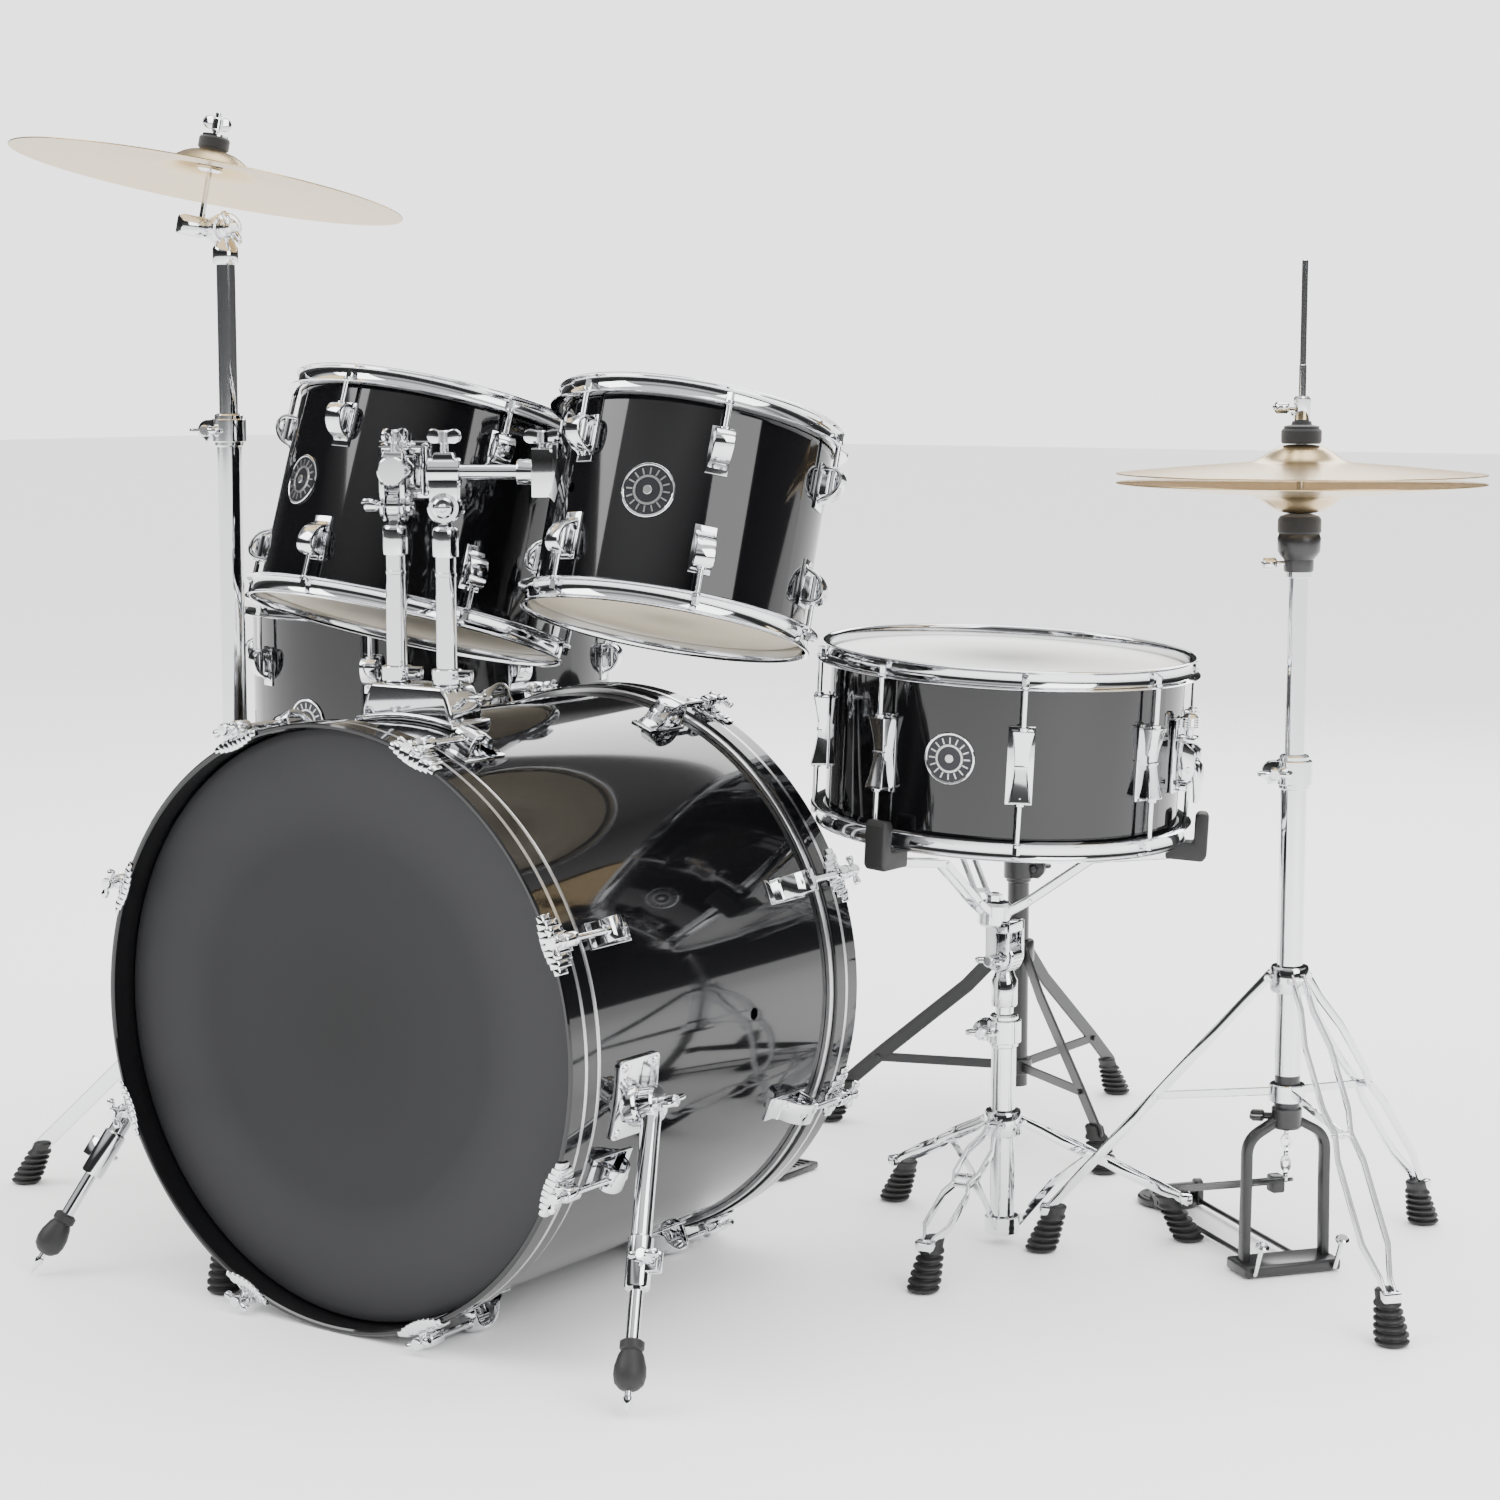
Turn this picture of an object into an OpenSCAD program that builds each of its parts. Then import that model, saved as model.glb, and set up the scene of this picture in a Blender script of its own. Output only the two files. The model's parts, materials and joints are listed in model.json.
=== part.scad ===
// Five-piece acoustic drum kit with cymbals, stands, pedals and throne.
// All sizes in millimetres, +Z up, the bass drum's front head faces -Y.

/* [Bass drum] */
// Outer diameter of the bass drum shell
bass_d = 558.8; // [556:0.2:562]
// Depth of the bass drum shell
bass_depth = 406.4; // [400:0.2:412]
// Shell wall thickness
bass_wall = 7; // [5:0.5:9]
// Tension points on each side of the bass drum
bass_points = 8; // [8:1:8]

/* [Toms] */
// Shell diameter of the left rack tom
tom12_d = 304.8; // [303:0.2:306]
// Shell depth of the left rack tom
tom12_depth = 208; // [200:1:212]
// Shell diameter of the right rack tom
tom10_d = 254; // [252:0.2:256]
// Shell depth of the right rack tom
tom10_depth = 185; // [178:1:190]
// Shell diameter of the floor tom
floor_d = 410; // [406:1:412]
// Shell depth of the floor tom
floor_depth = 355; // [350:1:360]
// Shell wall thickness of the toms and the snare drum
shell_wall = 6; // [5:0.5:8]

/* [Snare drum] */
// Shell diameter of the snare drum
snare_d = 355.6; // [354:0.2:357]
// Shell depth of the snare drum
snare_depth = 160; // [156:1:164]

/* [Cymbals] */
// Hi-hat cymbal diameter
hat_d = 355.6; // [330:0.2:356]
// Crash cymbal diameter
crash_d = 406.4; // [380:0.2:408]

/* [Stands] */
// Outer radius of the lower stand tubes
lower_r = 12.7; // [12:0.1:13.5]
// Outer radius of the sliding upper tubes
upper_r = 9.5; // [9:0.1:10]
// Height of the throne's seat top
seat_top = 500; // [470:5:520]
// Seat diameter of the throne
seat_d = 300; // [280:5:320]

/* [Hidden] */
$fn = 64;

// The kit is laid out around the bass drum's centre, then moved so that the
// origin lies on the floor under the middle of the whole kit.
kit_centre = [95, 391];

gap = 0.2;              // clearance between parts that touch
fit_gap = 0.06;         // running fit of a sliding tube

// Bass drum
bass_r = bass_d / 2;
hoop_r = 287;           // outer radius of the wooden hoops
hoop_wall = 5.6;
hoop_w = 37.8;
hoop_reach = 27.2;      // how far a hoop stands past the shell's end
bass_z = hoop_r;        // height of the drum's axis
claw_rod_r = 297.5;     // radius of the circle of key rods

// Tension hardware of the small drums, measured outwards from the shell
rod_out = 10.8;
rod_r = 2.7;
rim_out = 12.5;         // the metal hoop's top above the shell's edge

// Places of the drums: centre of each shell
tom12_at = [-135, 80, 745];
tom12_turn = [-16.3, 3.2, 0];
tom10_at = [222, 27, 754];
tom10_turn = [-16.75, 0.2, 0];
floor_at = [-418, 410, 450];
snare_at = [366, 379, 527];
snare_turn = [0.3, 3.15, 0];

// Stands: axis in plan, leg directions and foot radius
snare_stand = [364, 388];
snare_leg_az = 36.8;
snare_leg_r = 192;
hat_stand = [645.6, 463];
hat_leg_az = 78.7;
hat_leg_r = 244;
crash_stand = [-360.3, 25.6];
crash_leg_az = 70;
crash_leg_r = 287;
throne_at = [133.2, 819.8];
throne_leg_az = 85.9;
throne_leg_r = 222;
foot_h = 44;            // height of a rubber foot
foot_r = 17;

// Double tom holder on top of the bass drum
post_x = 31;
post_y = -91;
post_r = 9.7;
hinge_z = 767;
left_tom_az = 119.7;    // from the left post towards its tom
right_tom_az = 34;

// Spurs
spur_side_z = 243;
spur_y = -125;
spur_x = 286;
spur_tip = [371.6, -266.8];

// Pedals
hat_pedal_az = 142.5;   // the hi-hat pedal points this way
hat_pedal_len = 262;
beater_pivot = [0, 262, 150];
heel_y = 466;

// ---------- shared shapes ----------

module at_origin() {
    translate([-kit_centre.x, -kit_centre.y, 0]) children();
}

module ring(r_out, r_in, h) {
    difference() {
        cylinder(r = r_out, h = h);
        translate([0, 0, -1]) cylinder(r = r_in, h = h + 2);
    }
}

// A profile in the XZ plane, extruded by width w about y = 0.
module side_profile(w) {
    translate([0, w / 2, 0]) rotate([90, 0, 0]) linear_extrude(w) children();
}

// A bar of width w and thickness t from a to b, both given as [radius, height].
module bar(a, b, w, t) {
    len = norm(b - a);
    slope = atan2(b.y - a.y, b.x - a.x);
    translate([a.x, 0, a.y]) rotate([0, -slope, 0]) translate([0, -w / 2, -t / 2]) cube([len, w, t]);
}

module rod_between(a, b, r) {
    d = b - a;
    translate(a) rotate([0, acos(d.z / norm(d)), atan2(d.y, d.x)]) cylinder(r = r, h = norm(d));
}

// A wing screw whose stem runs along +X from the origin.
module wing_screw(stem = 14, span = 19, thick = 5, stem_r = 4) {
    rotate([0, 90, 0]) cylinder(r = stem_r, h = stem + 4);
    translate([stem + 6, 0, 0]) rotate([90, 0, 0]) translate([0, 0, -thick / 2]) linear_extrude(thick) {
        square([11, 2 * span - 12], center = true);
        for (s = [-1, 1]) translate([1, s * (span - 6)]) circle(r = 6.5);
    }
}

module around(count, start = 0) {
    for (i = [0:count - 1]) rotate([0, 0, start + i * 360 / count]) children();
}

// ---------- parts of a small drum, centred on the origin, axis along Z ----------

module drum_shell(r, depth, vent_az) {
    difference() {
        translate([0, 0, -depth / 2]) ring(r, r - shell_wall, depth);
        rotate([0, 0, vent_az]) translate([r - shell_wall - 3, 0, 0]) rotate([0, 90, 0])
            cylinder(r = 5, h = shell_wall + 6);
    }
}

// A head: thin film over the edge with its metal rim outside the shell.
module drum_head(r, depth) {
    e = depth / 2;
    rotate_extrude($fn = 96) polygon([
        [0, e + gap], [0, e + gap + 0.6], [r + 1, e + gap + 0.6], [r + 1, e - 7], [r + 4.3, e - 7],
        [r + 4.3, e - 13], [r + 0.3, e - 13], [r + 0.3, e + gap]
    ]);
}

module drum_heads(r, depth) {
    for (m = [0, 1]) mirror([0, 0, m]) drum_head(r, depth);
}

// A triple-flanged metal hoop with a hole for every tension rod.
module metal_hoop(r, depth, count, start) {
    e = depth / 2;
    difference() {
        rotate_extrude($fn = 96) polygon([
            [r + 1.8, e - 6.8], [r + 15, e - 6.8], [r + 15, e - 4.6], [r + 6.4, e - 4.6],
            [r + 6.4, e + rim_out - 2.2], [r + 9.5, e + rim_out - 2.2], [r + 9.5, e + rim_out],
            [r + 4.8, e + rim_out], [r + 4.8, e - 4.6], [r + 1.8, e - 4.6]
        ]);
        around(count, start) translate([r + rod_out, 0, e - 10]) cylinder(r = rod_r + 0.5, h = 8, $fn = 24);
    }
}

module metal_hoops(r, depth, count, start) {
    for (m = [0, 1]) mirror([0, 0, m]) metal_hoop(r, depth, count, start);
}

// An arched lug: a curved strap on a foot plate, open at the sides.
// The rod enters its flat top, which lies at z = 0.
module arched_lug(r, out = 22, tall = 38, w = 20, screw_r = rod_r, screw_out = rod_out) {
    t = 3.6;
    difference() {
        side_profile(w) difference() {
            polygon(concat(
                [[r - 3, 0], [r + out, 0]],
                [for (a = [0:15:90]) [r + out * cos(a), -10 - (tall - 10) * sin(a)]],
                [[r - 3, -tall]]
            ));
            polygon(concat(
                [[r + 2.5, -t], [r + out - t, -t]],
                [for (a = [0:15:75]) [r + (out - t) * cos(a), -10 - (tall - 10 - t) * sin(a)]],
                [[r + 2.5, -tall + t + 2]]
            ));
        }
        translate([0, 0, -tall - 1]) cylinder(r = r + gap, h = tall + 2, $fn = 180);
        translate([r + screw_out, 0, -tall]) cylinder(r = screw_r + 0.3, h = tall + 1, $fn = 24);
    }
}

module small_drum_lugs(r, depth, count, start, drop) {
    for (m = [0, 1]) mirror([0, 0, m]) around(count, start)
        translate([0, 0, depth / 2 - drop]) arched_lug(r);
}

// Tension rods from the hoop's flange down into the lugs.
module tension_rods(r, depth, count, start, reach) {
    for (m = [0, 1]) mirror([0, 0, m]) around(count, start)
        translate([r + rod_out, 0, depth / 2 - reach]) {
            cylinder(r = rod_r, h = reach - 4.4, $fn = 24);
            translate([0, 0, reach - 4.4]) cylinder(r = 4.1, h = 2, $fn = 24);
            translate([0, 0, reach - 2.5]) cylinder(r = 3.4, h = 7.5, $fn = 4);
        }
}

// ---------- stands ----------

// One tripod leg in the XZ plane: the long strap to the foot and its brace.
module tripod_leg(collar_z, leg_r, brace_z, brace_to, single) {
    top = [lower_r + 9, collar_z];
    foot = [leg_r - 1, 35];
    slope = (top.y - foot.y) / (foot.x - top.x);
    bar(top, foot, leg_width(single), single ? 5 : 7);
    bar([lower_r + 3, brace_z], [brace_to, collar_z - slope * (brace_to - top.x) - 4], 13, 4);
}

function leg_width(single) = single ? 17 : 22;

module tripod(collar_z, leg_r, leg_az, brace_z, brace_to, single = false) {
    for (i = [0:2]) rotate([0, 0, leg_az + i * 120])
        tripod_leg(collar_z, leg_r, brace_z, brace_to, single);
    translate([0, 0, collar_z - 14]) ring(lower_r + 11, lower_r + gap, 24);
    translate([0, 0, brace_z - 9]) ring(lower_r + 7, lower_r + gap, 18);
}

// A ribbed rubber cone with a slot for the end of its leg.
module rubber_foot(leg_r, single) {
    slot = leg_width(single) + 0.6;
    translate([leg_r, 0, 0]) difference() {
        union() {
            cylinder(r1 = foot_r, r2 = 12.6, h = foot_h);
            for (i = [0:2]) translate([0, 0, 4 + i * 8]) cylinder(r1 = foot_r + 1 - i, r2 = 15.6 - i, h = 3.5);
        }
        translate([-20, -slot / 2, 26]) cube([29, slot, 30]);
    }
}

// Lower tube with the height clamp that holds the sliding tube above it.
module lower_tube(z_low, z_top, screw_az) {
    translate([0, 0, z_low]) ring(lower_r, upper_r + 1.2, z_top - 30 - z_low);
    translate([0, 0, z_top - 30]) difference() {
        union() {
            cylinder(r = lower_r + 3.5, h = 30);
            rotate([0, 0, screw_az]) translate([0, -7, 4]) cube([lower_r + 14, 14, 22]);
        }
        translate([0, 0, -1]) cylinder(r = upper_r + fit_gap, h = 32);
    }
    rotate([0, 0, screw_az]) translate([lower_r + 13, 0, z_top - 15]) wing_screw();
}

// Cymbal: a bell that runs into a shallow bow, rim at z = 0, bell up.
function bow_z(x, r, rise, bell) = rise * (1 - pow(x / r, 1.35)) + bell * exp(-pow(x / (r * 0.2), 4));

module cymbal(r, rise, bell, thick, hole) {
    xs = concat([hole], [for (i = [1:24]) hole + (r - hole) * i / 24]);
    rotate_extrude($fn = 96) polygon(concat(
        [for (x = xs) [x, bow_z(x, r, rise, bell) + thick]],
        [for (i = [len(xs) - 1:-1:0]) [xs[i], bow_z(xs[i], r, rise, bell)]]
    ));
}

// ---------- bass drum ----------

// The bass drum's axis lies along Y, its local +Z end is the front.
module bass_place() {
    translate([0, 0, bass_z]) rotate([90, 0, 0]) children();
}

module bass_shell() {
    color("#141416") difference() {
        bass_place() translate([0, 0, -bass_depth / 2]) ring(bass_r, bass_r - bass_wall, bass_depth);
        for (s = [-1, 1]) translate([s * post_x, post_y, bass_z + bass_r - 30]) cylinder(r = post_r + 2, h = 40);
        for (s = [-1, 1]) translate([s * (bass_r - 20), 60, bass_z]) rotate([0, 90, 0]) cylinder(r = 6, h = 40, center = true);
    }
}

module bass_heads() {
    e = bass_depth / 2;
    color("#34343a") bass_place() for (m = [0, 1]) mirror([0, 0, m]) rotate_extrude($fn = 128) polygon([
        [0, e + gap], [0, e + gap + 0.8], [bass_r + 1.2, e + gap + 0.8], [bass_r + 1.2, e - 11], [284.6, e - 11],
        [284.6, e - 18.6], [bass_r + 0.4, e - 18.6], [bass_r + 0.4, e + gap]
    ]);
}

module bass_hoops() {
    inner = hoop_r - hoop_wall;
    color("#101012") bass_place() for (m = [0, 1]) mirror([0, 0, m])
        translate([0, 0, bass_depth / 2 + hoop_reach - hoop_w]) ring(hoop_r, inner, hoop_w);
}

module bass_points_place() {
    bass_place() for (m = [0, 1]) mirror([0, 0, m]) around(bass_points, 180 / bass_points) children();
}

// Claws hook over the hoop; each has two prongs and a middle block for the key rod.
module bass_claws() {
    front = bass_depth / 2 + hoop_reach;
    color("#c9ccd0") bass_points_place() difference() {
        union() {
            side_profile(30) polygon([
                [hoop_r + gap, front - 32], [hoop_r + 5, front - 34], [hoop_r + 14, front - 30],
                [hoop_r + 16, front - 18], [hoop_r + 9, front + 2], [hoop_r - 2, front + 4.5],
                [hoop_r - 14, front + 4], [hoop_r - 14, front + gap], [hoop_r + gap, front + gap]
            ]);
            translate([claw_rod_r, 0, front - 46]) cylinder(r = 7, h = 20);
        }
        translate([claw_rod_r, 0, front - 60]) cylinder(r = 3.6, h = 80, $fn = 24);
        translate([hoop_r - 20, -4, front - 6]) cube([40, 8, 20]);
    }
}

// Key rods: a cross handle outside the claw and a long screw into the lug.
module bass_key_rods() {
    front = bass_depth / 2 + hoop_reach;
    color("#c9ccd0") bass_points_place() translate([claw_rod_r, 0, 0]) {
        translate([0, 0, front - 92]) cylinder(r = 3.1, h = 98, $fn = 24);
        translate([0, 0, front + 4]) cylinder(r = 6, h = 5);
        translate([0, 0, front + 12]) rotate([90, 0, 0]) cylinder(r = 4.5, h = 34, center = true);
        translate([0, 0, front + 7]) cylinder(r = 5, h = 8);
    }
}

module drum_lugs() {
    front = bass_depth / 2;
    color("#c9ccd0") {
        bass_points_place() translate([0, 0, front - 36])
            arched_lug(bass_r, out = 27, tall = 52, w = 24, screw_r = 3.1, screw_out = claw_rod_r - bass_r);
        translate(floor_at) small_drum_lugs(floor_d / 2, floor_depth, 8, floor_start, 44);
    }
}

// ---------- spurs ----------

spur_top = [spur_x + 10, spur_y, spur_side_z - 4];
spur_dir = [spur_tip.x, spur_tip.y, 0] - spur_top;
spur_len = norm(spur_dir);
spur_unit = spur_dir / spur_len;
// The fold axis points sideways out of the shell, square to the spur.
spur_axis_raw = [1, 0, 0] - spur_unit.x * spur_unit;
spur_axis = spur_axis_raw / norm(spur_axis_raw);
spur_az = atan2(spur_unit.y, spur_unit.x);
spur_level = [-sin(spur_az), cos(spur_az), 0];
spur_roll = atan2(spur_axis * cross(spur_unit, spur_level), spur_axis * spur_level);

// Local frame of a spur: origin at the fold pivot, +X to the tip, +Y out of the shell.
module spur_frame(side) {
    mirror([side < 0 ? 1 : 0, 0, 0]) translate(spur_top) rotate([0, 0, spur_az])
        rotate([0, asin(-spur_unit.z), 0]) rotate([spur_roll, 0, 0]) children();
}

// Chrome plates on the shell, with the bolt on which each spur swings.
module spur_brackets() {
    color("#c9ccd0") for (side = [-1, 1]) {
        difference() {
            mirror([side < 0 ? 1 : 0, 0, 0]) translate([bass_r - 14, spur_y - 32, spur_side_z - 38]) cube([17.8, 64, 78]);
            translate([0, 0, bass_z]) rotate([90, 0, 0]) cylinder(r = bass_r + gap, h = 600, center = true, $fn = 180);
        }
        spur_frame(side) {
            rotate([-90, 0, 0]) translate([0, 0, -17]) cylinder(r = 4, h = 30);
            rotate([0, 0, 90]) translate([9.2, 0, 0]) rotate([40, 0, 0]) wing_screw(6, 17, 5, 6);
        }
    }
}

// Outer spur tube with its toothed disc and the clamp for the inner rod.
module spur_tube(side) {
    half = spur_len * 0.60;
    color("#c9ccd0") spur_frame(side) {
        difference() {
            union() {
                rotate([90, 0, 0]) cylinder(r = 16, h = 16, center = true);
                rotate([0, 90, 0]) cylinder(r = 9.2, h = half - 4);
                translate([half - 46, 0, 0]) rotate([0, 90, 0]) cylinder(r = 11.5, h = 46);
                translate([half - 24, 0, 0]) rotate([0, 0, 90]) translate([9, 0, 0]) wing_screw(12, 17);
            }
            translate([40, 0, 0]) rotate([0, 90, 0]) cylinder(r = 6.2 + fit_gap, h = spur_len);
            rotate([90, 0, 0]) cylinder(r = 4 + fit_gap, h = 60, center = true);
        }
    }
}

// Inner rod with a collar, a rubber bulb and a steel spike.
module spur_rod(side) {
    tip = spur_len;
    color("#2a2a2c") spur_frame(side) rotate([0, 90, 0]) {
        translate([0, 0, spur_len * 0.3]) cylinder(r = 6.2, h = spur_len * 0.7 - 62);
        translate([0, 0, tip - 66]) cylinder(r = 12, h = 5);
        translate([0, 0, tip - 61]) cylinder(r1 = 10.5, r2 = 14.5, h = 26);
        translate([0, 0, tip - 35]) cylinder(r1 = 14.5, r2 = 8, h = 10);
        translate([0, 0, tip - 25.5]) cylinder(r = 3, h = 14.5);
        translate([0, 0, tip - 11]) cylinder(r1 = 3, r2 = 0.6, h = 10, $fn = 24);
    }
}

module spur_left() { spur_tube(-1); }
module spur_right() { spur_tube(1); }
module spur_left_rod() { spur_rod(-1); }
module spur_right_rod() { spur_rod(1); }

// ---------- tom holder ----------

module tom_mount_base() {
    top = 600;
    color("#c9ccd0") difference() {
        union() {
            translate([0, post_y + 25, 0]) rotate([90, 0, 0]) linear_extrude(50)
                polygon([[-56, 550], [-56, 572], [-47, 594], [-40, top], [40, top], [47, 594], [56, 572], [56, 550]]);
            for (s = [-1, 1]) translate([s * post_x, post_y, 540]) cylinder(r = post_r + 1.8, h = 30);
        }
        translate([0, 0, bass_z]) rotate([90, 0, 0]) difference() {
            cylinder(r = bass_r + gap, h = 600, center = true, $fn = 180);
            for (s = [-1, 1]) rotate([-90, 0, 0]) translate([s * post_x, post_y, 200]) cylinder(r = post_r + 1.8, h = 90);
        }
        for (s = [-1, 1]) translate([s * post_x, post_y, 500]) cylinder(r = post_r + fit_gap, h = 150);
    }
}

// A post with its memory lock, top sleeve and the fixed knuckle of the tilter.
module tom_post(side, tom_az) {
    color("#c9ccd0") translate([side * post_x, post_y, 0]) {
        translate([0, 0, 505]) cylinder(r = post_r, h = 240);
        translate([0, 0, 600.3]) ring(14.5, post_r - 1, 15);
        rotate([0, 0, 20]) translate([12, 0, 607.5]) rotate([0, 90, 0]) cylinder(r = 4, h = 9, $fn = 24);
        translate([0, 0, 720]) cylinder(r = 12.5, h = 29);
        rotate([0, 0, tom_az]) translate([0, 0, hinge_z]) difference() {
            union() {
                rotate([90, 0, 0]) cylinder(r = 14, h = 13, center = true);
                translate([0, 0, -19]) cylinder(r = 6.3, h = 16);
            }
            rotate([90, 0, 0]) cylinder(r = 4 + fit_gap, h = 40, center = true);
        }
    }
}

// The moving half of a tilter: cheeks on the hinge bolt, clamp head, arm and shell bracket.
module tom_arm(side, tom_az, arm_z, reach, drum_at, drum_turn, drum_r) {
    color("#c9ccd0") difference() {
        translate([side * post_x, post_y, 0]) rotate([0, 0, tom_az]) {
            for (s = [-1, 1]) translate([0, s * 9.6, 0]) {
                translate([0, 0, hinge_z]) rotate([90, 0, 0]) cylinder(r = 15, h = 5, center = true);
                translate([-11, -2.5, hinge_z]) cube([22, 5, arm_z - hinge_z]);
            }
            translate([0, 0, hinge_z]) rotate([90, 0, 0]) cylinder(r = 4, h = 36, center = true);
            translate([-15, 0, arm_z]) rotate([0, 90, 0]) cylinder(r = 14, h = 30);
            translate([0, 0, arm_z]) rotate([0, 90, 0]) cylinder(r = 7, h = reach);
            translate([reach - 27, -22, arm_z - 24]) cube([42, 44, 48]);
            translate([0, 0, arm_z + 10]) rotate([0, -90, 0]) wing_screw(12, 19);
        }
        translate(drum_at) rotate(drum_turn) cylinder(r = drum_r + gap, h = 400, center = true, $fn = 180);
    }
}

module tom_post_left() { tom_post(-1, left_tom_az); }
module tom_post_right() { tom_post(1, right_tom_az); }
module tom_arm_left() { tom_arm(-1, left_tom_az, 800, 50, tom12_at, tom12_turn, tom12_d / 2); }
module tom_arm_right() { tom_arm(1, right_tom_az, 800, 102, tom10_at, tom10_turn, tom10_d / 2); }

// ---------- rack toms ----------

tom12_start = 30;
tom10_start = 16;

module tom12_place() { translate(tom12_at) rotate(tom12_turn) children(); }
module tom10_place() { translate(tom10_at) rotate(tom10_turn) children(); }

module tom12_shell() { color("#141416") tom12_place() drum_shell(tom12_d / 2, tom12_depth, 200); }
module tom12_heads() { color("#d8d6cf") tom12_place() drum_heads(tom12_d / 2, tom12_depth); }
module tom12_hoops() { color("#c9ccd0") tom12_place() metal_hoops(tom12_d / 2, tom12_depth, 6, tom12_start); }
module tom12_lugs() { color("#c9ccd0") tom12_place() small_drum_lugs(tom12_d / 2, tom12_depth, 6, tom12_start, 28); }
module tom12_rods() { color("#c9ccd0") tom12_place() tension_rods(tom12_d / 2, tom12_depth, 6, tom12_start, 36); }

module tom10_shell() { color("#141416") tom10_place() drum_shell(tom10_d / 2, tom10_depth, 250); }
module tom10_heads() { color("#d8d6cf") tom10_place() drum_heads(tom10_d / 2, tom10_depth); }
module tom10_hoops() { color("#c9ccd0") tom10_place() metal_hoops(tom10_d / 2, tom10_depth, 6, tom10_start); }
module tom10_lugs() { color("#c9ccd0") tom10_place() small_drum_lugs(tom10_d / 2, tom10_depth, 6, tom10_start, 28); }
module tom10_rods() { color("#c9ccd0") tom10_place() tension_rods(tom10_d / 2, tom10_depth, 6, tom10_start, 36); }

// ---------- floor tom ----------

floor_start = 22.5;
floor_leg_az = 90;
floor_leg_r = 4.75;
floor_leg_out = 24;

module floor_tom_shell() { color("#141416") translate(floor_at) drum_shell(floor_d / 2, floor_depth, 240); }
module floor_tom_heads() { color("#d8d6cf") translate(floor_at) drum_heads(floor_d / 2, floor_depth); }
module floor_tom_hoops() { color("#c9ccd0") translate(floor_at) metal_hoops(floor_d / 2, floor_depth, 8, floor_start); }
module floor_tom_rods() { color("#c9ccd0") translate(floor_at) tension_rods(floor_d / 2, floor_depth, 8, floor_start, 52); }

module floor_tom_leg_brackets() {
    color("#c9ccd0") translate([floor_at.x, floor_at.y, 400]) around(3, floor_leg_az) difference() {
        union() {
            translate([floor_d / 2 - 4, -17, -34]) cube([9, 34, 68]);
            translate([floor_d / 2, -12, -24]) cube([floor_leg_out + 11, 24, 48]);
            translate([floor_d / 2 + floor_leg_out + 10, 0, 0]) wing_screw(8, 17);
        }
        translate([0, 0, -100]) cylinder(r = floor_d / 2 + gap, h = 200, $fn = 180);
        translate([floor_d / 2 + floor_leg_out, 0, -60]) cylinder(r = floor_leg_r + fit_gap, h = 120);
    }
}

// Legs: straight through the bracket, cranked outwards near the floor.
module floor_tom_legs() {
    x = floor_d / 2 + floor_leg_out;
    knee = 150;
    out = 22;
    color("#b9bcc0") translate([floor_at.x, floor_at.y, 0]) around(3, floor_leg_az) {
        translate([x, 0, knee]) cylinder(r = floor_leg_r, h = 420 - knee + 80);
        translate([x, 0, knee]) sphere(r = floor_leg_r + 0.4);
        rod_between([x, 0, knee], [x + out, 0, 60], floor_leg_r - 0.2);
        translate([x + out, 0, 60]) sphere(r = floor_leg_r + 0.4);
        translate([x + out, 0, 20]) cylinder(r = floor_leg_r, h = 40);
        translate([x + out, 0, 0]) cylinder(r1 = 15, r2 = 10, h = 36);
    }
}

// ---------- snare drum ----------

snare_points = 8;
snare_start = -55;
lever_az = 12;

module snare_place() { translate(snare_at) rotate(snare_turn) children(); }

module snare_shell() { color("#141416") snare_place() drum_shell(snare_d / 2, snare_depth, -82); }
module snare_heads() { color("#e4e3de") snare_place() drum_heads(snare_d / 2, snare_depth); }
module snare_hoops() { color("#c9ccd0") snare_place() metal_hoops(snare_d / 2, snare_depth, snare_points, snare_start); }
module snare_rods() {
    color("#c9ccd0") snare_place() tension_rods(snare_d / 2, snare_depth, snare_points, snare_start, 48);
}

// Waisted lugs that take a rod from above and one from below.
module snare_lugs() {
    r = snare_d / 2;
    half = 35;
    color("#c9ccd0") snare_place() around(snare_points, snare_start) difference() {
        side_profile(19) polygon(concat(
            [[r - 3, -half]],
            [for (a = [-90:15:90]) [r + 13.5 + 4.5 * cos(2 * a + 180), half * a / 90]],
            [[r - 3, half]]
        ));
        cylinder(r = r + gap, h = 100, center = true, $fn = 180);
        for (s = [-1, 1]) translate([r + rod_out, 0, s * 30]) cylinder(r = rod_r + 0.3, h = 30, center = true, $fn = 24);
    }
}

// Strainer on one side and the plain butt plate on the other.
module snare_strainer() {
    r = snare_d / 2;
    color("#c9ccd0") snare_place() difference() {
        union() {
            rotate([0, 0, lever_az]) {
                translate([r - 3, -15, -30]) cube([7, 30, 62]);
                for (s = [-1, 1]) translate([r, s * 12 - 3, -20]) cube([24, 6, 30]);
                translate([r + 12, 0, 20]) cylinder(r = 6, h = 10);
                translate([r + 12, 0, 30]) cylinder(r = 5, h = 10);
                translate([r, -6, 12]) cube([18, 12, 12]);
            }
            rotate([0, 0, lever_az + 180]) {
                translate([r - 3, -14, -38]) cube([7, 28, 26]);
                translate([r, -12, -34]) cube([14, 24, 8]);
            }
        }
        cylinder(r = r + gap, h = 200, center = true, $fn = 180);
        rotate([0, 0, lever_az]) translate([r + 17, 0, -12]) rotate([90, 0, 0]) cylinder(r = 3 + fit_gap, h = 60, center = true);
    }
}

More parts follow.
